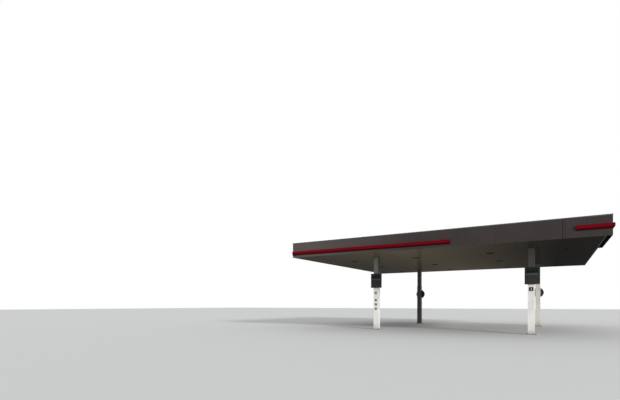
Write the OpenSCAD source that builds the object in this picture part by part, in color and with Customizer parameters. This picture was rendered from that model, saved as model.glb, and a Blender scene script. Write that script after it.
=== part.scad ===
// Filling station canopy: a flat metal roof on four columns, with a deep fascia of folded sheet,
// a smooth soffit with recessed lights, red light bars and a boxed-out front corner.
// +X runs along the front, +Y to the rear, +Z up, and the columns stand on z = 0.

/* [Roof outline] */
// Length of the front, between the faces of the left and right fascia
roof_l = 16800; // [14000:100:20000]
// Depth from the front fascia to the rear fascia
roof_w = 15900; // [14000:100:19000]
// Clear height under the soffit
clear_h = 4660; // [4300:10:5500]
// Height of the fascia, coping included
fascia_h = 940; // [900:10:1300]
// How far the boxed-out corner stands out to the right of the plain side
corner_out = 190; // [120:10:300]
// Length of the boxed-out corner along the right side
corner_l = 4700; // [3600:50:6000]

/* [Columns] */
// Left end of the roof to the left column line
left_overhang = 4645; // [3600:5:5200]
// Right column line to the right end of the roof
right_overhang = 3275; // [2600:25:4200]
// Front fascia to the front column line
front_overhang = 2900; // [2300:50:3600]
// Rear column line to the rear fascia
rear_overhang = 3200; // [2300:50:3800]
// Width of the square steel column
col_w = 300; // [250:10:320]
// Wall of the column
col_t = 10; // [6:1:16]
// Outside corner radius of the column
col_r = 20; // [12:1:40]
// Side of the base plate
base_w = 500; // [480:10:600]
// Thickness of the base plate
base_t = 25; // [20:1:40]
// Spacing of the four anchor holes
anchor_spacing = 420; // [400:5:440]
// Diameter of an anchor hole
anchor_d = 26; // [18:1:34]
// Side of the cap plate under the main beam
cap_w = 400; // [380:10:460]
// Thickness of the cap plate
cap_t = 20; // [15:1:30]

/* [Beams] */
// Depth of a main beam
main_h = 360; // [300:10:420]
// Flange width of a main beam
main_b = 170; // [140:5:220]
// Flange thickness of a main beam
main_flange = 13; // [10:1:20]
// Web thickness of a main beam
main_web = 8; // [6:1:12]
// Depth of a cross beam
cross_h = 180; // [160:5:200]
// Flange width of a cross beam
cross_b = 100; // [80:5:140]
// Flange thickness of a cross beam
cross_flange = 9; // [7:1:12]
// Web thickness of a cross beam
cross_web = 6; // [5:1:9]
// Cross beams on each side of the gutter
cross_n = 3; // [2:1:5]
// Fascia to the middle of the nearest cross beam
cross_end = 2000; // [1500:50:2600]
// Gutter to the edge of the nearest cross beam
cross_gap = 200; // [100:10:400]
// Least height of the stools between the main beams and the cross beams
stool_min = 8; // [6:1:20]
// Depth of the edge channels
edge_h = 290; // [280:5:340]
// Flange width of the edge channels
edge_b = 90; // [70:5:110]
// Thickness of the edge channels
edge_t = 10; // [8:1:14]
// Width of a fascia post
post_w = 60; // [50:5:80]
// Largest spacing of the fascia posts
post_pitch = 2400; // [1500:100:3000]

/* [Deck and gutter] */
// Fall of the deck to the gutter, in mm for each metre
deck_fall = 12; // [8:1:14]
// Height of a rib of the deck
rib_h = 45; // [35:1:60]
// Pitch of the ribs
rib_pitch = 300; // [200:10:400]
// Width of a rib at its top
rib_top = 70; // [50:5:90]
// Width of a rib at its foot
rib_foot = 120; // [100:5:150]
// Thickness of the deck sheet
deck_t = 3; // [2:0.5:5]
// Width of the box gutter
gutter_w = 400; // [300:10:500]
// Sheet thickness of the gutter
gutter_t = 4; // [3:1:6]
// How far the deck reaches over the gutter
gutter_lap = 40; // [20:5:60]
// Diameter of a gutter outlet
outlet_d = 110; // [80:5:150]
// Sheet thickness of the flashing behind the fascia
flashing_t = 3; // [2:0.5:5]
// Open joint between two lengths of flashing at a corner
flashing_joint = 4; // [3:1:10]

/* [Soffit and lights] */
// Thickness of a soffit panel
soffit_t = 30; // [20:1:40]
// Room left between the soffit and the column
soffit_gap = 5; // [3:1:10]
// Width of the collar around a column head
collar_w = 30; // [20:1:60]
// Depth of the collar below the soffit
collar_t = 10; // [6:1:20]
// Width of a soffit rail
rail_w = 50; // [40:5:70]
// Wall of a soffit rail
rail_t = 4; // [3:1:5]
// Largest spacing of the soffit rails between the column lines
rail_pitch = 2400; // [1500:100:3000]
// Space between a soffit rail and a cap plate, or the fold of a fascia panel
rail_gap = 60; // [40:5:100]
// Side of the opening for a light
light_w = 400; // [300:10:500]
// Height of the light housing above the soffit face
light_h = 110; // [80:5:140]
// Width of the frame around a light
light_frame = 25; // [15:1:40]
// How far the frame of a light hangs below the soffit
light_drop = 6; // [4:1:12]
// Rows of lights from front to rear
light_rows = 3; // [2:1:3]
// Front fascia to the first row of lights
light_front = 4100; // [3800:50:4400]
// Rear fascia to the last row of lights
light_rear = 1600; // [1200:50:2000]
// Left end of the roof to the first light of a row
light_left = 2500; // [2000:50:3000]
// Column line to the light beside it, in the lane between the columns
light_lane = 2200; // [1500:50:3000]
// Right end of the roof to the last light of a row
light_right = 1700; // [1200:50:2200]

/* [Fascia] */
// Thickness of the folded fascia sheet
sheet_t = 4; // [2:1:6]
// Depth of the folded edges of a panel
fold_d = 40; // [30:1:50]
// Right end of the front to the left edge of the corner module
module_l = 1755; // [1500:5:2400]
// Width of the joint strip beside the corner module
strip_w = 130; // [80:5:200]
// How far the joint strip lies behind the panels
strip_in = 10; // [5:1:20]
// Open joint between the front fascia and the joint strip
strip_gap = 20; // [5:1:40]
// Width of the coping
coping_w = 120; // [100:5:160]
// How far the coping stands out from the fascia
coping_over = 10; // [6:1:20]
// Height of the lips of the coping
coping_lip = 50; // [30:5:70]
// Sheet thickness of the coping
coping_t = 3; // [2:0.5:5]

/* [Light bars] */
// Height of a light bar
bar_h = 240; // [180:5:280]
// How far a light bar stands out from the fascia
bar_out = 80; // [60:5:120]
// Height of the sloping underside of a light bar
bar_slope_h = 90; // [50:5:120]
// Depth of a light bar at its foot
bar_foot = 24; // [15:1:40]
// Chamfer along the top front edge of a light bar
bar_chamfer = 12; // [6:1:20]
// Wall of the hollow cover of a light bar
bar_wall = 4; // [3:0.5:6]
// Thickness of the end caps of a light bar
bar_cap_t = 8; // [5:1:12]
// Soffit to the foot of the left light bar
left_bar_z = 140; // [100:5:200]
// Soffit to the foot of the right light bar
right_bar_z = 300; // [240:5:380]
// Length of the left light bar
left_bar_l = 9900; // [8000:50:11000]
// Front end of the right light bar, measured from the right end
right_bar_l = 1365; // [1000:5:1500]

/* [Pillars and signs] */
// Space between a column and the cladding around it
clad_gap = 6; // [4:1:30]
// Sheet thickness of the cladding
clad_t = 4; // [3:1:10]
// Height of the front cladding above the ground
front_clad_h = 2700; // [2400:10:2850]
// Height of the rear cladding above the ground
rear_clad_h = 3200; // [2800:10:3600]
// Width of a sign box
sign_w = 710; // [600:10:900]
// Depth of a sign box
sign_d = 80; // [70:5:140]
// Height of a sign box
sign_h = 920; // [700:10:1100]
// Thickness of the walls and the rim of a sign box
sign_t = 20; // [18:1:26]
// Offset of a sign box to the right of its column
sign_shift = 45; // [0:5:90]
// Thickness of a sign face
face_t = 12; // [6:1:18]
// Width of the rim around a sign face
rim_w = 60; // [40:5:100]
// Width of the pump number plate
plate_w = 210; // [120:5:240]
// Height of the pump number plate
plate_h = 215; // [160:5:240]
// Thickness of the number plate and of the symbol discs
plate_t = 8; // [4:1:12]
// Top of the cladding to the top of the number plate
plate_drop = 145; // [120:5:300]
// Diameter of a symbol disc
symbol_d = 150; // [100:5:180]
// First symbol disc to the second
symbol_gap = 465; // [300:5:500]
// Spacing of the symbol discs after the second
symbol_pitch = 280; // [200:5:320]
// Number of symbol discs
symbol_n = 4; // [3:1:5]
// Top of the cladding to the middle of the first symbol disc
symbol_drop = 330; // [120:5:500]
// Diameter of a round sign behind a rear pillar
disc_d = 710; // [450:10:750]
// Thickness of a round sign
disc_t = 20; // [10:1:40]
// Height of the middle of a round sign
disc_z = 2520; // [2200:10:2800]
// Middle of the pillar to the middle of a round sign
disc_off = 20; // [0:5:150]
// Space between the pillar and the back of a round sign
disc_gap = 60; // [40:5:100]
// Width of the square arm that carries a round sign
arm_w = 40; // [30:1:60]

/* [Hidden] */
$fn = 48;
eps = 1;
m = 1000;

// Outline of the roof, placed so that the whole canopy is centred on the origin in plan
x_left = coping_over - (roof_l + coping_over + bar_out) / 2;
x_right = x_left + roof_l;
x_side = x_right - corner_out;
y_front = bar_out - (roof_w + coping_over + bar_out) / 2;
y_rear = y_front + roof_w;
y_corner = y_front + corner_l;

// Column lines
col_x = [x_left + left_overhang, x_right - right_overhang];
col_y = [y_front + front_overhang, y_rear - rear_overhang];
clad_w = col_w + 2 * (clad_gap + clad_t);
sign_front = col_y[0] - col_w / 2 - sign_d;

// Heights
soffit_top = clear_h + soffit_t;
fascia_top = clear_h + fascia_h - coping_t;
// The soffit rails fill the space between the soffit and the main beams
cap_room = 25;
cap_top = soffit_top + cap_room + cap_t;
main_top = cap_top + main_h;
fall = deck_fall / m;
fall_angle = atan(fall);

// Lines of the roof frame, inside the posts
frame_in = sheet_t + post_w;
frame_x0 = x_left + frame_in;
frame_x1 = x_side - frame_in;
frame_y0 = y_front + frame_in;
frame_y1 = y_rear - frame_in;
web_x0 = frame_x0 + edge_b;
web_x1 = frame_x1 - edge_b;
web_y0 = frame_y0 + edge_b;
web_y1 = frame_y1 - edge_b;
gutter_y = (y_front + y_rear) / 2;

// Cross beams step up from the gutter to the edges, each on stools that follow the fall
cross_first = gutter_w / 2 + cross_gap + cross_b / 2;
cross_last = roof_w / 2 - cross_end;
stool_l = main_b;
deck_z0 = main_top + stool_min + cross_h;

function cross_off(i) = cross_first + (cross_last - cross_first) * i / (cross_n - 1);
function deck_z(off) = deck_z0 + fall * (off - cross_first + cross_b / 2);

// Evenly spread places from a to b, no further apart than the pitch
function spread(a, b, pitch) =
    let (n = ceil((b - a) / pitch))
    [for (i = [0:n]) a + (b - a) * i / n];

// 2D shapes
module rounded_square(w, r) {
    square([w - 2 * r, w], center = true);
    square([w, w - 2 * r], center = true);
    for (x = [-1, 1], y = [-1, 1])
        translate([x * (w / 2 - r), y * (w / 2 - r)])
            circle(r);
}

module i_section(h, b, flange, web) {
    translate([-b / 2, 0])
        square([b, flange]);
    translate([-b / 2, h - flange])
        square([b, flange]);
    translate([-web / 2, 0])
        square([web, h]);
}

module channel_section(h, b, t) {
    square([t, h]);
    square([b, t]);
    translate([0, h - t])
        square([b, t]);
}

// Section of a folded fascia panel: its face stands on x = 0 and its folds reach to +x
module panel_section(h, depth) {
    channel_section(h, depth, sheet_t);
}

module coping_section(w) {
    translate([-coping_over, 0])
        square([w, coping_t]);
    for (x = [-coping_over, w - coping_over - coping_t])
        translate([x, -coping_lip])
            square([coping_t, coping_lip + coping_t]);
}

module bar_section() {
    polygon([
        [0, 0],
        [bar_foot, 0],
        [bar_out, bar_slope_h],
        [bar_out, bar_h - bar_chamfer],
        [bar_out - bar_chamfer, bar_h],
        [0, bar_h]
    ]);
}

// A cover is open towards the fascia, and its wall is even along the slope and the chamfer
module bar_cover_section() {
    lean = (bar_out - bar_foot) / bar_slope_h;
    slope_in = bar_wall * sqrt(1 + lean * lean);
    corner_in = bar_wall * (sqrt(2) - 1);
    face_x = bar_out - bar_wall;
    difference() {
        bar_section();
        polygon([
            [-eps, bar_wall],
            [bar_foot + lean * bar_wall - slope_in, bar_wall],
            [face_x, (face_x + slope_in - bar_foot) / lean],
            [face_x, bar_h - bar_chamfer - corner_in],
            [bar_out - bar_chamfer - corner_in, bar_h - bar_wall],
            [-eps, bar_h - bar_wall]
        ]);
    }
}

// Extrusions of a section whose x points inward and y points up, along one side of the roof
module along_front(x0, x1, y) {
    translate([x0, y, 0])
        rotate([90, 0, 90])
            linear_extrude(x1 - x0)
                children();
}

module along_rear(x0, x1, y) {
    translate([x1, y, 0])
        rotate([90, 0, -90])
            linear_extrude(x1 - x0)
                children();
}

module along_left(y0, y1, x) {
    translate([x, y1, 0])
        rotate([90, 0, 0])
            linear_extrude(y1 - y0)
                children();
}

module along_right(y0, y1, x) {
    translate([x, y0, 0])
        rotate([90, 0, 180])
            linear_extrude(y1 - y0)
                children();
}

// Columns
module column(i, j) {
    translate([col_x[i], col_y[j], 0]) {
        linear_extrude(base_t)
            difference() {
                square(base_w, center = true);
                for (x = [-1, 1], y = [-1, 1])
                    translate([x, y] * anchor_spacing / 2)
                        circle(d = anchor_d);
            }
        translate([0, 0, base_t])
            linear_extrude(cap_top - cap_t - base_t)
                difference() {
                    rounded_square(col_w, col_r);
                    rounded_square(col_w - 2 * col_t, col_r - col_t);
                }
        translate([0, 0, cap_top - cap_t])
            linear_extrude(cap_t)
                square(cap_w, center = true);
    }
}

module column_front_left() {
    color("slategray")
        column(0, 0);
}

module column_front_right() {
    color("slategray")
        column(1, 0);
}

module column_rear_left() {
    color("darkslategray")
        column(0, 1);
}

module column_rear_right() {
    color("slategray")
        column(1, 1);
}

// Sheet cladding around the foot of a column, with packers that hold it off the steel
module pillar_cladding(i, j, h) {
    packer_h = 60;
    packer_w = 80;
    packer_in = 300;
    translate([col_x[i], col_y[j], base_t]) {
        linear_extrude(h - base_t)
            difference() {
                square(clad_w, center = true);
                square(clad_w - 2 * clad_t, center = true);
            }
        for (z = [packer_in, h - base_t - packer_in], a = [0:90:270])
            rotate(a)
                translate([col_w / 2, -packer_w / 2, z])
                    cube([clad_gap, packer_w, packer_h]);
    }
}

module pillar_cladding_front_left() {
    color("white")
        pillar_cladding(0, 0, front_clad_h);
}

module pillar_cladding_front_right() {
    color("white")
        pillar_cladding(1, 0, front_clad_h);
}

module pillar_cladding_rear_left() {
    color("darkslategray")
        pillar_cladding(0, 1, rear_clad_h);
}

module pillar_cladding_rear_right() {
    color("antiquewhite")
        pillar_cladding(1, 1, rear_clad_h);
}

// Dark collars that close the soffit around the column heads
module column_collars() {
    color("dimgray")
        for (x = col_x, y = col_y)
            translate([x, y, clear_h - collar_t])
                linear_extrude(collar_t)
                    difference() {
                        square(col_w + 2 * collar_w, center = true);
                        rounded_square(col_w, col_r);
                    }
}

// A sign box is a shallow hollow box fixed flat on the front of a column, open in front for its face
module sign_box(i) {
    translate([col_x[i] + sign_shift - sign_w / 2, sign_front, front_clad_h])
        difference() {
            cube([sign_w, sign_d, sign_h]);
            translate([sign_t, sign_t, sign_t])
                cube([sign_w - 2 * sign_t, sign_d - 2 * sign_t, sign_h - 2 * sign_t]);
            translate([rim_w, -eps, rim_w])
                cube([sign_w - 2 * rim_w, sign_t + 2 * eps, sign_h - 2 * rim_w]);
        }
}

module sign_box_left() {
    color("darkslategray")
        sign_box(0);
}

module sign_box_right() {
    color("darkslategray")
        sign_box(1);
}

// A sign face is a tray that sits in the front opening of its box
module sign_face(i) {
    w = sign_w - 2 * rim_w;
    h = sign_h - 2 * rim_w;
    translate([col_x[i] + sign_shift - w / 2, sign_front + sign_t - face_t, front_clad_h + rim_w])
        cube([w, face_t, h]);
}

module sign_faces() {
    color("darkgreen")
        for (i = [0, 1])
            sign_face(i);
}

module number_plate() {
    color("firebrick")
        translate([col_x[1] - plate_w / 2, col_y[0] - clad_w / 2 - plate_t, front_clad_h - plate_drop - plate_h])
            cube([plate_w, plate_t, plate_h]);
}

function symbol_z(i) =
    front_clad_h - symbol_drop - (i > 0 ? symbol_gap + (i - 1) * symbol_pitch : 0);

module symbol_discs() {
    color("dimgray")
        for (i = [0:symbol_n - 1])
            translate([col_x[0], col_y[0] - clad_w / 2, symbol_z(i)])
                rotate([90, 0, 0])
                    cylinder(d = symbol_d, h = plate_t);
}

// A round sign hangs behind a rear pillar on a short square arm with a wall flange
module round_sign(i) {
    flange_w = 120;
    flange_t = 8;
    flange_in = 10;
    arm_x = min(disc_off, clad_w / 2 - flange_w / 2 - flange_in);
    translate([col_x[i], col_y[1] + clad_w / 2, disc_z]) {
        translate([arm_x - flange_w / 2, 0, -flange_w / 2])
            cube([flange_w, flange_t, flange_w]);
        translate([arm_x - arm_w / 2, 0, -arm_w / 2])
            cube([arm_w, disc_gap, arm_w]);
        translate([disc_off, disc_gap, 0])
            rotate([-90, 0, 0])
                cylinder(d = disc_d, h = disc_t, $fn = 96);
    }
}

module round_sign_left() {
    color("darkslategray")
        round_sign(0);
}

module round_sign_right() {
    color("darkslategray")
        round_sign(1);
}

// Roof frame
module main_beam(i) {
    color("silver")
        translate([col_x[i], frame_y1, cap_top])
            rotate([90, 0, 0])
                linear_extrude(frame_y1 - frame_y0)
                    i_section(main_h, main_b, main_flange, main_web);
}

module main_beam_left() {
    main_beam(0);
}

module main_beam_right() {
    main_beam(1);
}

module cross_beam(y, off) {
    beam_z = deck_z(off - cross_b / 2) - cross_h;
    translate([web_x0, y, beam_z])
        rotate([90, 0, 90])
            linear_extrude(web_x1 - web_x0)
                i_section(cross_h, cross_b, cross_flange, cross_web);
    for (x = col_x)
        translate([x - stool_l / 2, y - cross_b / 2, main_top])
            cube([stool_l, cross_b, beam_z - main_top]);
}

module cross_beams() {
    color("silver")
        for (i = [0:cross_n - 1], side = [-1, 1])
            cross_beam(gutter_y + side * cross_off(i), cross_off(i));
}

module edge_beams_ends() {
    color("silver")
        translate([0, 0, main_top]) {
            along_rear(frame_x0, frame_x1, web_y0)
                channel_section(edge_h, edge_b, edge_t);
            along_front(frame_x0, frame_x1, web_y1)
                channel_section(edge_h, edge_b, edge_t);
        }
}

module edge_beams_sides() {
    color("silver")
        translate([0, 0, main_top]) {
            along_right(web_y0, web_y1, web_x0)
                channel_section(edge_h, edge_b, edge_t);
            along_left(web_y0, web_y1, web_x1)
                channel_section(edge_h, edge_b, edge_t);
        }
}

// Posts stand between the edge beams and the fascia, and reach further at the boxed-out corner
post_z0 = soffit_top + cap_room;
post_end = 300;

module post(h) {
    translate([-post_w / 2, -post_w / 2, post_z0])
        cube([post_w, post_w, h]);
}

module fascia_posts() {
    post_top = fascia_top - sheet_t - post_z0;
    front_y = y_front + sheet_t + post_w / 2;
    rear_y = y_rear - sheet_t - post_w / 2;
    color("gray") {
        for (x = spread(x_left + post_end, x_side - post_end, post_pitch), y = [front_y, rear_y])
            translate([x, y, 0])
                post(post_top);
        for (y = spread(y_front + post_end, y_rear - post_end, post_pitch))
            translate([x_left + sheet_t + post_w / 2, y, 0])
                post(post_top);
        for (y = spread(y_corner + post_end, y_rear - post_end, post_pitch))
            translate([x_side - sheet_t - post_w / 2, y, 0])
                post(post_top);
        for (y = spread(y_front + post_end, y_corner - post_end, post_pitch)) {
            translate([x_right - sheet_t - post_w / 2, y, 0])
                post(post_top);
            translate([frame_x1, y - post_w / 2, main_top + edge_h - post_w])
                cube([x_right - sheet_t - post_w - frame_x1, post_w, post_w]);
        }
    }
}

// Rails along the front carry the soffit and pass clear of the column heads
module soffit_rails() {
    clear_y = cap_w / 2 + rail_w / 2 + rail_gap;
    first = y_front + fold_d + rail_gap;
    last = y_rear - fold_d - rail_gap;
    places = concat(
        [first, col_y[0] - clear_y],
        spread(col_y[0] + clear_y, col_y[1] - clear_y, rail_pitch),
        [col_y[1] + clear_y, last]
    );
    color("gray")
        for (y = places)
            translate([0, 0, soffit_top])
                along_front(x_left + fold_d, x_side - fold_d, y - rail_w / 2)
                    difference() {
                        square([rail_w, cap_room + cap_t]);
                        translate([rail_t, -eps])
                            square([rail_w - 2 * rail_t, cap_room + cap_t - rail_t + eps]);
                    }
}

// Soffit panels, cut out for the lights and for the column heads
light_dy = (roof_w - light_front - light_rear) / (light_rows - 1);
light_xs = [x_left + light_left, col_x[0] + light_lane, col_x[1] - light_lane, x_right - light_right];
light_ys = [for (j = [0:light_rows - 1]) y_front + light_front + j * light_dy];
seam_x = (col_x[0] + col_x[1]) / 2;

module soffit_panel(x0, x1) {
    color("dimgray")
        translate([0, 0, clear_h])
            linear_extrude(soffit_t)
                difference() {
                    translate([x0, y_front + fold_d])
                        square([x1 - x0, roof_w - 2 * fold_d]);
                    for (x = light_xs, y = light_ys)
                        translate([x, y])
                            square(light_w, center = true);
                    for (x = col_x, y = col_y)
                        translate([x, y])
                            rounded_square(col_w + 2 * soffit_gap, col_r);
                }
}

module soffit_left() {
    soffit_panel(x_left + fold_d, seam_x);
}

module soffit_right() {
    soffit_panel(seam_x, x_side - fold_d);
}

// A recessed light is an open housing with a frame that laps the soffit
module recessed_lights() {
    wall = 3;
    lens_z = 30;
    lens_t = 5;
    color("lightgray")
        for (x = light_xs, y = light_ys)
            translate([x, y, clear_h]) {
                difference() {
                    translate([-light_w / 2, -light_w / 2, 0])
                        cube([light_w, light_w, light_h]);
                    translate([wall - light_w / 2, wall - light_w / 2, -eps])
                        cube([light_w - 2 * wall, light_w - 2 * wall, light_h - wall + eps]);
                }
                translate([wall - light_w / 2, wall - light_w / 2, lens_z])
                    cube([light_w - 2 * wall, light_w - 2 * wall, lens_t]);
                translate([0, 0, -light_drop])
                    linear_extrude(light_drop)
                        difference() {
                            square(light_w + 2 * light_frame, center = true);
                            square(light_w - 2 * wall, center = true);
                        }
            }
}

// One half of the ribbed deck: a folded sheet whose ribs run down the fall to the gutter
module deck_profile(l) {
    n = floor(l / rib_pitch);
    margin = (l - n * rib_pitch) / 2;
    crest = [
        for (i = [0:n - 1], k = [0:3])
            let (mid = margin + (i + 0.5) * rib_pitch)
            let (x = [-rib_foot, -rib_top, rib_top, rib_foot][k] / 2)
            [mid + x, k == 0 || k == 3 ? 0 : rib_h]
    ];
    under = concat([[0, 0]], crest, [[l, 0]]);
    upper = [for (i = [len(under) - 1:-1:0]) under[i] + [0, deck_t]];
    polygon(concat(under, upper));
}

module deck_half() {
    l = web_x1 - web_x0;
    off0 = gutter_w / 2 - gutter_lap;
    reach = (web_y1 - gutter_y - off0) / cos(fall_angle) - rib_h * tan(fall_angle) - deck_t;
    translate([web_x0, off0, deck_z(off0)])
        rotate([90 + fall_angle, 0, 0])
            mirror([0, 0, 1])
                linear_extrude(reach)
                    deck_profile(l);
}

module roof_deck_rear() {
    color("lightsteelblue")
        translate([0, gutter_y, 0])
            deck_half();
}

module roof_deck_front() {
    color("lightsteelblue")
        translate([0, gutter_y, 0])
            mirror([0, 1, 0])
                deck_half();
}

// Box gutter on the main beams, with an outlet beside each of them
module box_gutter() {
    h = deck_z(gutter_w / 2 - gutter_t) - main_top;
    outlet_l = 60;
    outlet_z = main_top - outlet_l;
    outlet_x = [for (x = col_x) x + main_b / 2 + outlet_d];
    color("lightsteelblue")
        difference() {
            union() {
                translate([0, 0, main_top])
                    along_front(web_x0, web_x1, gutter_y - gutter_w / 2)
                        difference() {
                            square([gutter_w, h]);
                            translate([gutter_t, gutter_t])
                                square([gutter_w - 2 * gutter_t, h]);
                        }
                for (x = outlet_x)
                    translate([x, gutter_y, outlet_z])
                        cylinder(d = outlet_d, h = main_top + gutter_t - outlet_z);
            }
            for (x = outlet_x)
                translate([x, gutter_y, outlet_z - eps])
                    cylinder(d = outlet_d - 2 * gutter_t, h = main_top - outlet_z + gutter_t + 2 * eps);
        }
}

// Flashing that laps the edge beams and lines the back of the fascia posts up to the coping
module flashing_section() {
    square([edge_b, flashing_t]);
    square([flashing_t, fascia_top - main_top - edge_h]);
}

module parapet_flashing() {
    color("lightsteelblue")
        translate([0, 0, main_top + edge_h]) {
            along_front(frame_x0, frame_x1, frame_y0)
                flashing_section();
            along_rear(frame_x0, frame_x1, frame_y1)
                flashing_section();
            along_left(web_y0 + flashing_joint, web_y1 - flashing_joint, frame_x0)
                flashing_section();
            along_right(web_y0 + flashing_joint, web_y1 - flashing_joint, frame_x1)
                flashing_section();
        }
}

// Fascia of folded sheet
panel_h = fascia_top - clear_h;
module_x = x_right - module_l;
strip_x = module_x - strip_w;

module fascia_front() {
    color("gray")
        translate([0, 0, clear_h])
            along_front(x_left, strip_x, y_front)
                panel_section(panel_h, fold_d);
}

module fascia_joint_strip() {
    color("dimgray")
        translate([0, 0, clear_h])
            along_front(strip_x + strip_gap, module_x, y_front + strip_in)
                panel_section(panel_h, fold_d - strip_in);
}

module fascia_corner_front() {
    color("gray")
        translate([0, 0, clear_h])
            along_front(module_x, x_right, y_front)
                panel_section(panel_h, fold_d);
}

// The side of the boxed-out corner turns back to the plain side at its end
module fascia_corner_side() {
    color("gray") {
        translate([0, 0, clear_h])
            along_right(y_front + fold_d, y_corner, x_right)
                square([sheet_t, panel_h]);
        translate([x_side, y_corner - sheet_t, clear_h + sheet_t])
            cube([corner_out, sheet_t, panel_h - sheet_t]);
    }
}

// Dark plate that closes the boxed-out corner from below
module corner_underside() {
    color("darkslategray")
        translate([x_side - fold_d, y_front + fold_d, clear_h])
            cube([corner_out + fold_d - sheet_t, corner_l - fold_d, sheet_t]);
}

module fascia_right() {
    color("gray")
        translate([0, 0, clear_h])
            along_right(y_corner, y_rear - fold_d, x_side)
                panel_section(panel_h, fold_d);
}

module fascia_rear() {
    color("gray")
        translate([0, 0, clear_h])
            along_rear(x_left, x_side, y_rear)
                panel_section(panel_h, fold_d);
}

module fascia_left() {
    color("gray")
        translate([0, 0, clear_h])
            along_left(y_front + fold_d, y_rear - fold_d, x_left)
                panel_section(panel_h, fold_d);
}

// Coping caps over the fascia
coping_in = coping_w - coping_over;

module coping_front() {
    color("lightsteelblue")
        translate([0, 0, fascia_top])
            along_front(x_left - coping_over, x_right + coping_over, y_front)
                coping_section(coping_w);
}

module coping_corner() {
    color("lightsteelblue")
        translate([0, 0, fascia_top])
            along_right(y_front + coping_in, y_corner + coping_over, x_right)
                coping_section(coping_w + corner_out);
}

module coping_right() {
    color("lightsteelblue")
        translate([0, 0, fascia_top])
            along_right(y_corner + coping_over, y_rear - coping_in, x_side)
                coping_section(coping_w);
}

module coping_rear() {
    color("lightsteelblue")
        translate([0, 0, fascia_top])
            along_rear(x_left - coping_over, x_side + coping_over, y_rear)
                coping_section(coping_w);
}

module coping_left() {
    color("lightsteelblue")
        translate([0, 0, fascia_top])
            along_left(y_front + coping_in, y_rear - coping_in, x_left)
                coping_section(coping_w);
}

// Red light bars on the fascia: the left one is straight, the right one turns the corner in a mitre
module bar_cover_out() {
    mirror([1, 0])
        bar_cover_section();
}

module bar_cap_front(x) {
    along_front(x, x + bar_cap_t, y_front)
        mirror([1, 0])
            bar_section();
}

module light_bar_left() {
    x1 = x_left + left_bar_l;
    color("firebrick")
        translate([0, 0, clear_h + left_bar_z]) {
            along_front(x_left, x1, y_front)
                bar_cover_out();
            bar_cap_front(x_left);
            bar_cap_front(x1 - bar_cap_t);
        }
}

module light_bar_right() {
    far = x_right + bar_out;
    near = y_front - bar_out;
    color("firebrick")
        translate([0, 0, clear_h + right_bar_z]) {
            bar_cap_front(x_right - right_bar_l);
            along_right(y_corner - bar_cap_t, y_corner, x_right)
                mirror([1, 0])
                    bar_section();
            intersection() {
                along_front(x_right - right_bar_l, far, y_front)
                    bar_cover_out();
                linear_extrude(bar_h)
                    polygon([
                        [x_right - right_bar_l, near],
                        [far, near],
                        [x_right, y_front],
                        [x_right - right_bar_l, y_front]
                    ]);
            }
            intersection() {
                along_right(near, y_corner, x_right)
                    bar_cover_out();
                linear_extrude(bar_h)
                    polygon([
                        [far, near],
                        [far, y_corner],
                        [x_right, y_corner],
                        [x_right, y_front]
                    ]);
            }
        }
}

column_front_left();
column_front_right();
column_rear_left();
column_rear_right();
pillar_cladding_front_left();
pillar_cladding_front_right();
pillar_cladding_rear_left();
pillar_cladding_rear_right();
column_collars();
sign_box_left();
sign_box_right();
sign_faces();
number_plate();
symbol_discs();
round_sign_left();
round_sign_right();
main_beam_left();
main_beam_right();
cross_beams();
edge_beams_ends();
edge_beams_sides();
fascia_posts();
soffit_rails();
soffit_left();
soffit_right();
recessed_lights();
roof_deck_front();
roof_deck_rear();
box_gutter();
parapet_flashing();
fascia_front();
fascia_joint_strip();
fascia_corner_front();
fascia_corner_side();
corner_underside();
fascia_right();
fascia_rear();
fascia_left();
coping_front();
coping_corner();
coping_right();
coping_rear();
coping_left();
light_bar_left();
light_bar_right();
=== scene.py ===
# %% [markdown]
# # A filling station canopy
# A flat steel roof on four clad pillars, seen from the forecourt at eye height. The construction
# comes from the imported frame. This script gives every surface its finish and adds the small pieces
# that repeat, such as screws, nuts, lamp covers and joint caps. Read it from top to bottom: each
# step says what the real thing is, how it could be made, and why it is made this way.

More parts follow.
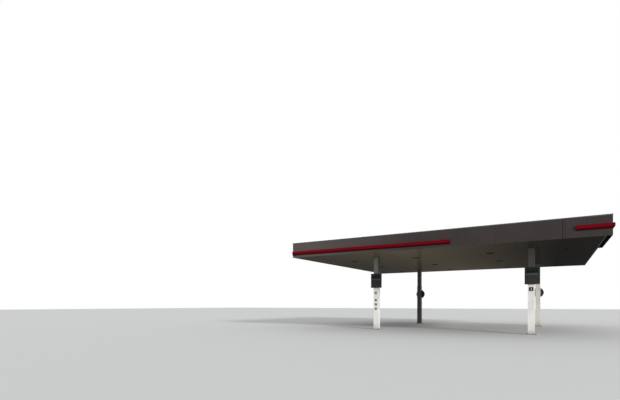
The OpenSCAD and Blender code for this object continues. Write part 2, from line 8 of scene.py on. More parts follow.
# %% Load the frame
import bpy
import bmesh
import math
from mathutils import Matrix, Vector


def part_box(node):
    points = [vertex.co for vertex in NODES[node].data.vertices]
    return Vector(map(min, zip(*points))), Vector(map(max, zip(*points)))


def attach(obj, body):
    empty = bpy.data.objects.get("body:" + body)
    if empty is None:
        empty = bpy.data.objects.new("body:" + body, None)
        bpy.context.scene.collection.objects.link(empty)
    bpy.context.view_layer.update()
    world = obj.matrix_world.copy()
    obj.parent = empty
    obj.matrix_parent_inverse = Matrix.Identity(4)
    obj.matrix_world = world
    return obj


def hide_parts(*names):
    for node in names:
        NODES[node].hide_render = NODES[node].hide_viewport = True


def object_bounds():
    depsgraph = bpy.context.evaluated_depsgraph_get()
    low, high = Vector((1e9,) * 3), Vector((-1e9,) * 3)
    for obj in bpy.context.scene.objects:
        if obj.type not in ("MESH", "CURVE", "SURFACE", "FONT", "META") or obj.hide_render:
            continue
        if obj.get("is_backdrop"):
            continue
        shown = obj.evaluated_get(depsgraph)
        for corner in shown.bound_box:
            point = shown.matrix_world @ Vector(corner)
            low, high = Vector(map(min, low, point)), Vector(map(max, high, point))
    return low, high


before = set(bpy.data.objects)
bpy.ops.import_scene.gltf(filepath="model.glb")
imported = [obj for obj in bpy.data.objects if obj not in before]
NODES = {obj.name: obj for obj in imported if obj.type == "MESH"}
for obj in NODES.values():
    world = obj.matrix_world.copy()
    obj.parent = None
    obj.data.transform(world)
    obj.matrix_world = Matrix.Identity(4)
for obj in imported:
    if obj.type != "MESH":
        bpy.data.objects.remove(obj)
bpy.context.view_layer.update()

# %% [markdown]
# The sizes that several steps share are measured on the frame, so that every added piece sits on
# the node that carries it. `front` is the plane of the front fascia, `soffit` the height of the
# ceiling under the roof, and `strip_left` the edge of the narrow joint strip beside the corner box.

# %% Measure the frame
fascia_low, fascia_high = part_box("fascia_front")
rear_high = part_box("fascia_rear")[1]
front = fascia_low.y
rear = rear_high.y
left_end = fascia_low.x
right_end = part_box("fascia_corner_front")[1].x
right_side = rear_high.x
corner_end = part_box("fascia_corner_side")[1].y
strip_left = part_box("fascia_joint_strip")[0].x
soffit = fascia_low.z
fascia_top = fascia_high.z
print("front", round(front, 3), "rear", round(rear, 3), "soffit", round(soffit, 3))

# %% [markdown]
# The camera stands where a visitor stands, at eye height, 22 m before the fascia and 2.2 m to the
# left of its right end. It is kept level, so that upright edges stay upright, and its lens is
# shifted up instead, as an architect's camera is.

# %% Camera
eye_height = 1.60
eye_before_front = 22.10
eye_from_right_end = 2.175
heading_left = math.radians(31.09)
level_view = math.radians(90)
lens_mm = 23.6
sensor_mm = 36.0
lens_shift_up = 0.169
farthest_seen = 500.0


def new_object(name, data):
    made = bpy.data.objects.new(name, data)
    bpy.context.scene.collection.objects.link(made)
    return made


camera_data = bpy.data.cameras.new("camera")
camera_data.sensor_width = sensor_mm
camera_data.lens = lens_mm
camera_data.shift_y = lens_shift_up
camera_data.clip_end = farthest_seen
camera = new_object("camera", camera_data)
camera.location = (right_end - eye_from_right_end, front - eye_before_front, eye_height)
camera.rotation_euler = (level_view, 0, heading_left)
bpy.context.scene.camera = camera
print("camera at", [round(v, 2) for v in camera.location])

# %% [markdown]
# Node trees are long to write by hand, so a few helpers keep them readable. `add_node` makes a node,
# sets its options and fills its sockets, each with a number or with a link. The others each make one
# kind of node and return its output at once: `calc` is Math, `vector` is Combine XYZ, `ramp` is Map
# Range, `fall` a ramp that goes down, `blend_colours` is Mix and `noise` is the Noise Texture.

# %% Helpers for node trees
def fill_socket(tree, socket, value):
    if isinstance(value, bpy.types.NodeSocket):
        tree.links.new(value, socket)
    else:
        socket.default_value = value


def add_node(tree, kind, sockets=None, **options):
    node = tree.nodes.new(kind)
    for name, value in options.items():
        setattr(node, name, value)
    for name, value in (sockets or {}).items():
        fill_socket(tree, node.inputs[name], value)
    return node


def calc(tree, operation, first, second=0.0):
    return add_node(tree, "ShaderNodeMath", {0: first, 1: second}, operation=operation).outputs[0]


def vector(tree, **axes):
    return add_node(tree, "ShaderNodeCombineXYZ", axes).outputs[0]


def ramp(tree, value, low, high, out_low=0.0, out_high=1.0):
    sockets = {"Value": value, "From Min": low, "From Max": high, "To Min": out_low, "To Max": out_high}
    return add_node(tree, "ShaderNodeMapRange", sockets, clamp=True).outputs["Result"]


def fall(tree, value, low, high):
    return ramp(tree, value, low, high, out_low=1.0, out_high=0.0)


def blend_colours(tree, mask, colour, other):
    under, over = (c if isinstance(c, bpy.types.NodeSocket) else (*c, 1) for c in (colour, other))
    return add_node(tree, "ShaderNodeMix", {"Factor": mask, 6: under, 7: over}, data_type="RGBA").outputs[2]


def noise(tree, place, scale, detail, roughness):
    sockets = {"Vector": place, "Scale": scale, "Detail": detail, "Roughness": roughness}
    return add_node(tree, "ShaderNodeTexNoise", sockets).outputs["Fac"]

# %% [markdown]
# The stage is a plain pale floor under soft, even light. The world is white to the eye and in
# reflections, and a little dimmer as a lamp, so a colour renders about as it is written. One broad,
# low sun from the front right reaches in under the roof and gives the forms their shade.

# %% Floor and light
floor_half = 150.0
floor_colour = (0.60, 0.60, 0.60)
floor_roughness = 0.9
floor_gloss = 0.1
sky_colour = (0.94, 0.97, 1.0)
sky_strength = 0.72
sun_colour = (1.0, 0.97, 0.92)
sun_strength = 2.8
sun_spread = math.radians(9)
sun_tilt = math.radians(70)
sun_heading = math.radians(60)


def stage_floor():
    corners = [(-1, -1), (1, -1), (1, 1), (-1, 1)]
    mesh = bpy.data.meshes.new("floor")
    mesh.from_pydata([(x * floor_half, y * floor_half, 0) for x, y in corners], [], [(0, 1, 2, 3)])
    material = bpy.data.materials.new("pale_floor")
    material.use_nodes = True
    shader = material.node_tree.nodes["Principled BSDF"]
    shader.inputs["Base Color"].default_value = (*floor_colour, 1)
    shader.inputs["Roughness"].default_value = floor_roughness
    shader.inputs["Specular IOR Level"].default_value = floor_gloss
    mesh.materials.append(material)
    new_object("floor", mesh)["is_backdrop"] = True


def studio_world():
    world = bpy.data.worlds.new("studio")
    bpy.context.scene.world = world
    world.use_nodes = True
    tree = world.node_tree
    tree.nodes.clear()
    paths = add_node(tree, "ShaderNodeLightPath").outputs
    seen = calc(tree, "MAXIMUM", paths["Is Camera Ray"], paths["Is Glossy Ray"])
    seen = calc(tree, "MAXIMUM", seen, paths["Is Transmission Ray"])
    lamp = add_node(tree, "ShaderNodeBackground", {"Color": (*sky_colour, 1), "Strength": sky_strength})
    backdrop = add_node(tree, "ShaderNodeBackground", {"Color": (1, 1, 1, 1), "Strength": 1.0})
    mix = add_node(tree, "ShaderNodeMixShader", {0: seen, 1: lamp.outputs[0], 2: backdrop.outputs[0]})
    add_node(tree, "ShaderNodeOutputWorld", {"Surface": mix.outputs[0]})


def sun_lamp():
    data = bpy.data.lights.new("sun", "SUN")
    data.energy = sun_strength
    data.angle = sun_spread
    data.color = sun_colour
    new_object("sun", data).rotation_euler = (sun_tilt, 0, sun_heading)


stage_floor()
studio_world()
sun_lamp()
bpy.context.scene.view_settings.view_transform = "Standard"
print("stage ready, sky", sky_strength, "sun", sun_strength)

# %% [markdown]
# Outdoors, the same few effects show on every metal sheet: a film of dust, streaks that rain washes
# down, splashed dirt near the ground, joints at an even pitch, and the slow waves of thin sheet.
# Each effect is one shader group with named inputs, built once and placed in each material with its
# own values. The groups read the object's own coordinates, in metres, and put out masks and heights.

# %% Helpers for shader groups
def shader_group(name, inputs, outputs):
    group = bpy.data.node_groups.new(name, "ShaderNodeTree")
    group.interface.new_socket(name="Place", in_out="INPUT", socket_type="NodeSocketVector")
    for label, value in inputs.items():
        socket = group.interface.new_socket(name=label, in_out="INPUT", socket_type="NodeSocketFloat")
        socket.default_value = value
    for label in outputs:
        group.interface.new_socket(name=label, in_out="OUTPUT", socket_type="NodeSocketFloat")
    start = group.nodes.new("NodeGroupInput").outputs
    end = group.nodes.new("NodeGroupOutput").inputs
    return group, start, end


def xyz(tree, place):
    return add_node(tree, "ShaderNodeSeparateXYZ", {0: place}).outputs

# %% Dust film
def dust_film_group():
    inputs = {"Patch Size": 0.6, "Grain Size": 0.01}
    group, start, end = shader_group("dust_film", inputs, ["Patches", "Grain"])
    patches_per_metre = calc(group, "DIVIDE", 1.0, start["Patch Size"])
    grains_per_metre = calc(group, "DIVIDE", 1.0, start["Grain Size"])
    large = noise(group, start["Place"], patches_per_metre, detail=4.0, roughness=0.6)
    fine = noise(group, start["Place"], grains_per_metre, detail=2.0, roughness=0.55)
    group.links.new(ramp(group, large, low=0.38, high=0.68), end["Patches"])
    group.links.new(fine, end["Grain"])
    return group


dust_film = dust_film_group()
print("group", dust_film.name)

# %% [markdown]
# Rain runs down an upright sheet in thin lines that start at the top edge and fade. Noise gives
# such lines when its coordinates are pressed together along the wall and stretched downwards. Along
# the wall, x + y serves every side of a square building, because one of the two is always constant.

# %% Rain streaks and ground splashes
streak_wander = 0.7
splash_crowding = 1.6


def rain_streaks_group():
    inputs = {"Top": 1.0, "Reach": 1.0, "Spacing": 0.1}
    group, start, end = shader_group("rain_streaks", inputs, ["Streaks"])
    x, y, z = xyz(group, start["Place"])
    along = calc(group, "DIVIDE", calc(group, "ADD", x, y), start["Spacing"])
    down = calc(group, "DIVIDE", calc(group, "SUBTRACT", start["Top"], z), start["Reach"])
    pressed = vector(group, X=along, Y=calc(group, "MULTIPLY", down, streak_wander))
    lines = noise(group, pressed, scale=1.0, detail=3.0, roughness=0.6)
    lines = ramp(group, lines, low=0.50, high=0.74)
    group.links.new(calc(group, "MULTIPLY", lines, fall(group, down, 0.0, 1.0)), end["Streaks"])
    return group


def ground_splash_group():
    group, start, end = shader_group("ground_splash", {"Height": 0.5}, ["Splash"])
    height = xyz(group, start["Place"])["Z"]
    near_ground = fall(group, calc(group, "DIVIDE", height, start["Height"]), 0.0, 1.0)
    spots = noise(group, start["Place"], scale=14.0, detail=5.0, roughness=0.7)
    spots = ramp(group, spots, low=0.30, high=0.62)
    near_ground = calc(group, "POWER", near_ground, splash_crowding)
    group.links.new(calc(group, "MULTIPLY", near_ground, spots), end["Splash"])
    return group


rain_streaks = rain_streaks_group()
ground_splash = ground_splash_group()
print("groups", rain_streaks.name, ground_splash.name)

# %% [markdown]
# A joint between two sheets is a narrow dark line that comes back at an even pitch. The distance to
# the nearest joint is what the Math node's ping-pong gives: it counts up to half a pitch and back.

# %% Joints and sheet waves
def joint_lines_group():
    inputs = {"Start": 0.0, "Pitch": 1.0, "Width": 0.004}
    group, start, end = shader_group("joint_lines", inputs, ["Joint"])
    along = calc(group, "SUBTRACT", xyz(group, start["Place"])["X"], start["Start"])
    distance = calc(group, "PINGPONG", along, calc(group, "MULTIPLY", start["Pitch"], 0.5))
    inside = calc(group, "DIVIDE", distance, start["Width"])
    group.links.new(fall(group, inside, low=0.4, high=0.9), end["Joint"])
    return group


def sheet_waves_group():
    group, start, end = shader_group("sheet_waves", {"Wave Size": 0.5}, ["Height"])
    waves_per_metre = calc(group, "DIVIDE", 1.0, start["Wave Size"])
    group.links.new(noise(group, start["Place"], waves_per_metre, detail=1.0, roughness=0.4), end["Height"])
    return group


joint_lines = joint_lines_group()
sheet_waves = sheet_waves_group()
print("groups", joint_lines.name, sheet_waves.name)

# %% [markdown]
# Every finish starts in the same way: a Principled shader, the object's coordinates, and a base
# colour that dust lightens in patches. Roughness rises where the dust lies, and a Bump node takes
# the fine grain of the coating, so no surface is a single flat colour. The methods add what is
# special to a finish: `effect` places a group, `tint` lays a colour on a mask, `emboss` adds height
# to the bump, `joints` draws sunk dark lines and `waves` bends thin sheet. What is constant is set
# on the shader's own socket.

# %% How a finish is built up
grain_height = 0.0004
grain_strength = 0.5
dust_roughness = 0.14
# This dark colour serves the grime in sheet joints and the painted shade on a column's side.
joint_grime_and_side_shade = (0.018, 0.016, 0.014)


class Finish:
    def __init__(self, name, colour, dust, roughness, gloss, patch=0.8, grain=0.012):
        self.material = bpy.data.materials.new(name)
        self.material.use_nodes = True
        self.tree = self.material.node_tree
        self.shader = self.tree.nodes["Principled BSDF"]
        self.place = add_node(self.tree, "ShaderNodeTexCoord").outputs["Object"]
        self.x, self.y, self.z = xyz(self.tree, self.place)
        film = self.effect(dust_film, Patch_Size=patch, Grain_Size=grain)
        bump = {"Distance": grain_height, "Strength": grain_strength, "Height": film["Grain"]}
        self.put("Specular IOR Level", gloss)
        self.put("Base Color", blend_colours(self.tree, film["Patches"], colour, dust))
        self.put("Roughness", self.ramp(film["Patches"], 0.0, 1.0, roughness, roughness + dust_roughness))
        self.put("Normal", add_node(self.tree, "ShaderNodeBump", bump).outputs[0])

    def put(self, socket, value):
        fill_socket(self.tree, self.shader.inputs[socket], value)

    def so_far(self, socket):
        return self.shader.inputs[socket].links[0].from_socket

    def ramp(self, *values, **named):
        return ramp(self.tree, *values, **named)

    def fall(self, *values):
        return fall(self.tree, *values)

    def calc(self, *values):
        return calc(self.tree, *values)

    def effect(self, group, place=None, **values):
        node = add_node(self.tree, "ShaderNodeGroup", node_tree=group)
        fill_socket(self.tree, node.inputs["Place"], place or self.place)
        for label, value in values.items():
            node.inputs[label.replace("_", " ")].default_value = value
        return node.outputs

    def tint(self, mask, colour, strength=1.0):
        faded = self.calc("MULTIPLY", mask, strength)
        self.put("Base Color", blend_colours(self.tree, faded, self.so_far("Base Color"), colour))

    def emboss(self, height, distance, invert=False):
        bump = {"Distance": distance, "Strength": 1.0, "Height": height, "Normal": self.so_far("Normal")}
        self.put("Normal", add_node(self.tree, "ShaderNodeBump", bump, invert=invert).outputs[0])

    def joints(self, place, start, pitch, width, darkness, depth):
        joint = self.effect(joint_lines, place, Start=start, Pitch=pitch, Width=width)["Joint"]
        self.tint(joint, joint_grime_and_side_shade, darkness)
        self.emboss(joint, depth, invert=True)

    def waves(self, size, height, place=None):
        self.emboss(self.effect(sheet_waves, place, Wave_Size=size)["Height"], height)

    def stretched(self, x=1.0, y=1.0):
        sockets = {"Vector": self.place, "Scale": (x, y, 1.0)}
        return add_node(self.tree, "ShaderNodeMapping", sockets).outputs[0]

    def along_wall(self):
        return vector(self.tree, X=self.calc("ADD", self.x, self.y))

# %% [markdown]
# The fascia is grey-brown coil-coated sheet. It is hung in long panels, so fine joints come back
# every 2.85 m, counted from the joint strip. Rain draws faint streaks down from the coping, and thin
# sheet is never quite flat: a slow wave in the bump shows that. The left end is painted paler, as
# painted light.

# %% Fascia and coping sheet
panel_pitch = 2.85
coping_pitch = 3.0
sheet_joint = 0.006
first_joint = strip_left + front
fascia_colour = (0.036, 0.030, 0.029)
fascia_dust = (0.042, 0.035, 0.033)
fascia_pale = (0.104, 0.087, 0.080)
painted_light_full_to = left_end + 1.5
painted_light_gone_from = left_end + 8.0
# The coping's blue tint is painted reflection of the sky.
coping_painted_sky_blue = (0.040, 0.047, 0.060)
coping_dust = (0.085, 0.088, 0.092)


def fascia_sheet(name, jointed):
    sheet = Finish(name, fascia_colour, fascia_dust, roughness=0.42, gloss=0.12, patch=1.6)
    # Painted light: the left end is made paler, fully up to 1.5 m and fading out by 8 m.
    sheet.tint(sheet.fall(sheet.x, painted_light_full_to, painted_light_gone_from), fascia_pale, strength=0.7)
    streaks = sheet.effect(rain_streaks, Top=fascia_top, Reach=1.1, Spacing=0.16)
    sheet.tint(streaks["Streaks"], fascia_pale, strength=0.10)
    sheet.waves(size=0.9, height=0.012)
    if jointed:
        sheet.joints(sheet.along_wall(), first_joint, panel_pitch, sheet_joint, darkness=0.85, depth=0.003)
    return sheet


def coping_sheet():
    # Painted reflection: the sheet's base colour carries the blue of the reflected sky.
    sheet = Finish("coping_sheet", coping_painted_sky_blue, coping_dust, roughness=0.40, gloss=0.4, patch=0.5)
    sheet.joints(sheet.along_wall(), first_joint, coping_pitch, sheet_joint, darkness=0.9, depth=0.002)
    return sheet


fascia_panel = fascia_sheet("fascia_panel", jointed=True)
fascia_strip = fascia_sheet("fascia_strip", jointed=False)
coping = coping_sheet()
print("fascia and coping finishes ready")

# %% [markdown]
# The soffit is glossy enamelled sheet in trays 0.3 m wide that run from front to rear. Their fine
# seams and slight waves break the reflections of the pillars into upright streaks. Seen at so low an
# angle, plain gloss would turn the whole ceiling into a mirror, so the paint itself is matt and a thin
# clear coat does the mirroring. From 1.5 m in from the left end the enamel is painted paler and
# warmer, as painted light. Towards the open right end it is painted near black, as painted shade,
# and its coat is thinned, so one mask drives both.

# %% Soffit and dark trim
tray_pitch = 0.30
soffit_colour = (0.072, 0.065, 0.043)
soffit_dust = (0.070, 0.063, 0.044)
soffit_painted_light = (0.148, 0.122, 0.078)
soffit_painted_shade = (0.020, 0.020, 0.020)
soffit_light_from = left_end + 1.5
soffit_light_to = left_end + 7.0
soffit_shade_from = left_end + 8.0
soffit_shade_to = right_end - 2.1
coat_full = 0.050
coat_thinned = 0.012
coat_roughness = 0.14
trim_blue = (0.014, 0.017, 0.021)
trim_dust = (0.024, 0.026, 0.030)
underside_dark = (0.004, 0.005, 0.009)
underside_dust = (0.007, 0.009, 0.013)


def soffit_enamel():
    enamel = Finish("soffit_enamel", soffit_colour, soffit_dust, roughness=0.5, gloss=0.0,
                    patch=2.6, grain=0.03)
    enamel.put("Coat Roughness", coat_roughness)
    # Painted light: paler, warmer enamel from 1.5 m in from the left end, full from 7 m.
    enamel.tint(enamel.ramp(enamel.x, soffit_light_from, soffit_light_to), soffit_painted_light)
    # Painted shade: from 8 m in, the enamel darkens to near black towards the right end, and the coat thins.
    right_end_shade = enamel.ramp(enamel.x, soffit_shade_from, soffit_shade_to)
    enamel.put("Coat Weight", enamel.ramp(right_end_shade, 0.0, 1.0, coat_full, coat_thinned))
    enamel.tint(right_end_shade, soffit_painted_shade, strength=0.95)
    enamel.joints(enamel.place, left_end, tray_pitch, sheet_joint, darkness=0.8, depth=0.003)
    enamel.waves(size=0.35, height=0.004, place=enamel.stretched(y=0.25))
    return enamel


soffit_finish = soffit_enamel()
trim_finish = Finish("dark_trim", trim_blue, trim_dust, roughness=0.38, gloss=0.35, patch=0.4)
trim_finish.waves(size=0.25, height=0.003)
underside_finish = Finish("underside_plate", underside_dark, underside_dust, roughness=0.7, gloss=0.0)
print("soffit colour", soffit_colour)

# %% [markdown]
# Columns and cladding are the parts that people come near. Their paint is cleaner than the roof's,
# but dirt splashes up from the ground, rain leaves streaks below each edge, and the sheets of the
# cladding meet in one level joint. One function makes all these paints, each with its own colours
# and height. The columns share one grey paint in two copies: a paler one on the front left column,
# as painted light, and a darker one on the front right and rear right columns, as painted shade. The
# front left column also has painted shade on its right side, growing from 1 m up to full at 2 m.

# %% Column and cladding paint
road_dirt = (0.085, 0.078, 0.068)
splash_height = 0.55
cladding_joint_height = 1.38
cladding_joint = 0.004
one_joint_only = 20.0
column_half = 0.150
side_shade_strength = 0.85
side_shade_low, side_shade_high = 1.0, 2.0
skin_back, skin_front = 0.004, 0.001


def pillar_paint(name, node, colour, dust):
    paint = Finish(name, colour, dust, roughness=0.36, gloss=0.4, patch=0.45)
    streaks = paint.effect(rain_streaks, Top=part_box(node)[1].z, Reach=1.6, Spacing=0.035)
    splash = paint.effect(ground_splash, Height=splash_height)
    paint.tint(streaks["Streaks"], road_dirt, strength=0.22)
    paint.tint(splash["Splash"], road_dirt, strength=0.75)
    if "cladding" in node:
        upward = vector(paint.tree, X=paint.z)
        paint.joints(upward, cladding_joint_height, one_joint_only, cladding_joint, darkness=0.8, depth=0.002)
    return paint


# Painted shade: the right face of a column is darkened, growing from 1 m up to full at 2 m.
def add_painted_side_shade(paint, node):
    low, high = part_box(node)
    shaded_face = (low.x + high.x) / 2 + column_half
    on_face = paint.ramp(paint.x, shaded_face - skin_back, shaded_face - skin_front)
    high_up = paint.ramp(paint.z, side_shade_low, side_shade_high)
    paint.tint(paint.calc("MULTIPLY", on_face, high_up), joint_grime_and_side_shade, side_shade_strength)


# The first two rows are one grey paint: a darker copy as painted shade and a paler copy as painted light.
pillar_colours = (
    ("column_paint_painted_shade", "column_front_right", (0.088, 0.085, 0.081), (0.112, 0.108, 0.102)),
    ("column_paint_painted_light", "column_front_left", (0.222, 0.206, 0.182), (0.260, 0.240, 0.215)),
    ("column_dark", "column_rear_left", (0.042, 0.043, 0.038), (0.058, 0.058, 0.052)),
    ("cladding_white", "pillar_cladding_front_right", (0.82, 0.81, 0.79), (0.72, 0.71, 0.68)),
    ("cladding_dark", "pillar_cladding_rear_left", (0.038, 0.039, 0.035), (0.060, 0.059, 0.053)),
    ("cladding_cream", "pillar_cladding_rear_right", (0.78, 0.76, 0.69), (0.68, 0.66, 0.59)),
)
pillar_paints = {name: pillar_paint(name, *rest) for name, *rest in pillar_colours}
add_painted_side_shade(pillar_paints["column_paint_painted_light"], "column_front_left")
print("cladding joint at", cladding_joint_height)

# %% [markdown]
# The light bars are translucent red covers over lamps. Seen by day they are a deep, slightly uneven
# red, a little less glossy than new plastic. Their sloping underside faces down, and a mask made from
# the height paints each cover darker up to the top of its slope, as painted shade. The plates and
# discs are the same kind of plastic in other colours, so one function serves them all.

# %% Red, white and dark plastics
slope_height = 0.090
cover_red = (0.146, 0.0010, 0.0060)
cover_aged = (0.126, 0.0016, 0.0064)
cover_painted_shade = (0.040, 0.0010, 0.0030)
cap_red, cap_aged = (0.060, 0.0016, 0.0050), (0.050, 0.0020, 0.0050)
number_red, number_aged = (0.052, 0.0080, 0.0100), (0.044, 0.0090, 0.0110)
white, white_aged = (0.75, 0.75, 0.74), (0.66, 0.66, 0.64)
disc_black, disc_aged = (0.022, 0.020, 0.030), (0.032, 0.030, 0.038)
full_shade_to, no_shade_from = -0.006, 0.004


def light_cover(node):
    cover = Finish(node + "_cover", cover_red, cover_aged, roughness=0.34, gloss=0.04, patch=0.7, grain=0.004)
    slope_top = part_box(node)[0].z + slope_height
    # Painted shade: the sloping underside of the cover is darkened.
    slope_shade = cover.fall(cover.z, slope_top + full_shade_to, slope_top + no_shade_from)
    cover.tint(slope_shade, cover_painted_shade, strength=0.85)
    return cover


def moulded_plastic(name, colour, aged, roughness, gloss):
    plastic = Finish(name, colour, aged, roughness, gloss, patch=0.7, grain=0.004)
    plastic.waves(size=0.2, height=0.001)
    return plastic


red_covers = {node: light_cover(node) for node in ("light_bar_left", "light_bar_right")}
red_dark = moulded_plastic("red_cap", cap_red, cap_aged, roughness=0.45, gloss=0.05)
plate_red = moulded_plastic("plate_red", number_red, number_aged, roughness=0.40, gloss=0.06)
plate_white = moulded_plastic("plate_white", white, white_aged, roughness=0.35, gloss=0.4)
disc_dark = moulded_plastic("disc_dark", disc_black, disc_aged, roughness=0.40, gloss=0.3)
print("plastics ready")

# %% [markdown]
# A sign face carries plain bands: dark green at the top with one lighter line, a narrow pale blue
# band, and a brown-grey field below. The bands follow the height on the object, so each is a mask
# made from z, with no picture needed.

# %% Sign face bands
face_low, face_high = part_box("sign_faces")
face_field = (0.030, 0.028, 0.022)
face_dust = (0.036, 0.034, 0.028)
face_bands = (
    (0.54, 0.68, (0.058, 0.080, 0.102)),
    (0.68, 1.01, (0.004, 0.011, 0.004)),
    (0.86, 0.96, (0.010, 0.034, 0.009)),
)
sign_finish = Finish("sign_bands", face_field, face_dust, roughness=0.22, gloss=0.10, patch=0.3, grain=0.003)
share_of_height = sign_finish.ramp(sign_finish.z, face_low.z, face_high.z)
for band_low, band_high, colour in face_bands:
    above = sign_finish.calc("GREATER_THAN", share_of_height, band_low)
    below = sign_finish.calc("LESS_THAN", share_of_height, band_high)
    sign_finish.tint(sign_finish.calc("MULTIPLY", above, below), colour)
print("sign face from", round(face_low.z, 3), "to", round(face_high.z, 3))

# %% [markdown]
# Out of sight from the ground are the galvanised frame, the lamp housings and the roof deck. Zinc
# shows as flat crystals, which a Voronoi texture gives. The deck is pale coated sheet: dust settles
# in its pans, and the water that runs to the gutter leaves it darker there.

# %% Galvanised steel, housings and deck
gutter_low, gutter_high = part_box("box_gutter")
gutter_y = (gutter_low.y + gutter_high.y) / 2
crystals_per_metre = 45.0
zinc_grey = (0.30, 0.31, 0.32)
zinc_dull = (0.24, 0.245, 0.25)
crystal_light = (0.40, 0.41, 0.43)
deck_grey = (0.30, 0.32, 0.34)
deck_dust = (0.22, 0.23, 0.235)
pan_dirt = (0.12, 0.115, 0.10)
gutter_dirt = (0.06, 0.055, 0.045)
wet_to, dry_from = 0.2, 2.2
housing_black = (0.020, 0.020, 0.018)
housing_dust = (0.030, 0.029, 0.026)


def galvanised_steel():
    steel = Finish("galvanised_steel", zinc_grey, zinc_dull, roughness=0.42, gloss=0.5, patch=0.5)
    cells = add_node(steel.tree, "ShaderNodeTexVoronoi", {"Vector": steel.place, "Scale": crystals_per_metre})
    shade = add_node(steel.tree, "ShaderNodeSeparateColor", {0: cells.outputs["Color"]}).outputs[0]
    steel.tint(shade, crystal_light, strength=0.5)
    steel.put("Roughness", steel.ramp(shade, 0.0, 1.0, out_low=0.34, out_high=0.52))
    steel.put("Metallic", 0.6)
    return steel


def roof_deck_sheet():
    sheet = Finish("roof_deck_sheet", deck_grey, deck_dust, roughness=0.46, gloss=0.35, patch=0.9)
    runs = noise(sheet.tree, sheet.stretched(x=6.0, y=0.5), scale=1.2, detail=4.0, roughness=0.65)
    runs = sheet.ramp(runs, low=0.48, high=0.72)
    sheet.tint(runs, pan_dirt, strength=0.55)
    from_gutter = sheet.calc("ABSOLUTE", sheet.calc("SUBTRACT", sheet.y, gutter_y))
    wet = sheet.calc("MULTIPLY", sheet.fall(from_gutter, wet_to, dry_from), runs)
    sheet.tint(wet, gutter_dirt, strength=0.7)
    return sheet


steel_finish = galvanised_steel()
deck_finish = roof_deck_sheet()
housing_finish = Finish("housing_paint", housing_black, housing_dust, roughness=0.55, gloss=0.05, patch=0.2)
print("deck and steel finishes ready")

# %% [markdown]
# Now the finishes go onto the construction. A node's name says what it is, so the list is read in
# order and the first word that fits the name gives the finish.

# %% Finish every node
finish_of = [
    ("column_collars", soffit_finish), ("column_rear_left", pillar_paints["column_dark"]),
    ("column_front_left", pillar_paints["column_paint_painted_light"]), ("column_", pillar_paints["column_paint_painted_shade"]),
    ("pillar_cladding_front", pillar_paints["cladding_white"]),
    ("pillar_cladding_rear_left", pillar_paints["cladding_dark"]),
    ("pillar_cladding", pillar_paints["cladding_cream"]), ("sign_faces", sign_finish),
    ("sign_box", trim_finish), ("round_sign", trim_finish), ("number_plate", plate_red),
    ("symbol_discs", disc_dark), ("light_bar", red_dark), ("soffit_rails", steel_finish),
    ("soffit", soffit_finish), ("recessed", housing_finish), ("fascia_posts", steel_finish),
    ("fascia_joint", fascia_strip), ("fascia", fascia_panel), ("coping", coping),
    ("corner_underside", underside_finish), ("roof_deck", deck_finish), ("box_gutter", deck_finish),
    ("parapet", deck_finish), ("", steel_finish),
]
for name, node in NODES.items():
    finish = next(made for word, made in finish_of if name.startswith(word))
    for slot in node.material_slots:
        slot.material = finish.material
print("finished", len(NODES), "nodes")

# %% [markdown]
# The small pieces come next. Screws, rivets and nuts are all one thing to a maker: a round washer
# with a head on it, set on a point and facing some way. Geometry Nodes make them from a mesh that is
# only points, each with the direction it faces. The sizes, the number of sides and the finish are
# named inputs, and a seeded turn about the axis keeps the heads from standing in step.

# %% Helpers for Geometry Nodes
def geometry_tree(name, inputs):
    tree = bpy.data.node_groups.new(name, "GeometryNodeTree")
    tree.is_modifier = True
    tree.interface.new_socket(name="Geometry", in_out="INPUT", socket_type="NodeSocketGeometry")
    tree.interface.new_socket(name="Geometry", in_out="OUTPUT", socket_type="NodeSocketGeometry")
    for label, kind in inputs.items():
        tree.interface.new_socket(name=label, in_out="INPUT", socket_type="NodeSocket" + kind)
    return tree, tree.nodes.new("NodeGroupInput").outputs


def copies(tree, points, shape, **turn):
    sockets = {"Points": points, "Instance": shape, **turn}
    return add_node(tree, "GeometryNodeInstanceOnPoints", sockets).outputs[0]


def joined(tree, *shapes):
    node = tree.nodes.new("GeometryNodeJoinGeometry")
    for shape in shapes:
        tree.links.new(shape, node.inputs[0])
    return node.outputs[0]


def end_tree(tree, geometry, finish):
    real = add_node(tree, "GeometryNodeRealizeInstances", {"Geometry": geometry})
    painted = add_node(tree, "GeometryNodeSetMaterial", {"Geometry": real.outputs[0], "Material": finish})
    tree.links.new(painted.outputs[0], tree.nodes.new("NodeGroupOutput").inputs[0])


def plain_mesh(drawn):
    shapes = bpy.context.evaluated_depsgraph_get()
    return bpy.data.meshes.new_from_object(drawn.evaluated_get(shapes))


def grow(piece, tree, values):
    modifier = piece.modifiers.new(tree.name, "NODES")
    modifier.node_group = tree
    for item in tree.interface.items_tree:
        if item.in_out == "INPUT" and item.name in values:
            modifier[item.identifier] = values[item.name]
    mesh = plain_mesh(piece)
    piece.modifiers.remove(modifier)
    piece.data = mesh
    return piece


def seat(piece, slot, *replaced):
    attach(piece, "root")
    if replaced:
        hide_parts(*replaced)
    print(piece.name, "faces", len(piece.data.polygons))

# %% The tree that makes fixings
washer_sides = 12
stud_sides = 8
fixing_inputs = {
    "Washer Radius": "Float", "Washer Height": "Float", "Head Radius": "Float", "Head Height": "Float",
    "Head Sides": "Int", "Stud Radius": "Float", "Stud Height": "Float", "Seed": "Int", "Finish": "Material"}


def disc(tree, sides, radius, height, foot):
    body = add_node(tree, "GeometryNodeMeshCylinder", {"Vertices": sides, "Radius": radius, "Depth": height})
    middle = calc(tree, "ADD", foot, calc(tree, "MULTIPLY", height, 0.5))
    sockets = {"Geometry": body.outputs["Mesh"], "Translation": vector(tree, Z=middle)}
    return add_node(tree, "GeometryNodeTransform", sockets).outputs[0]


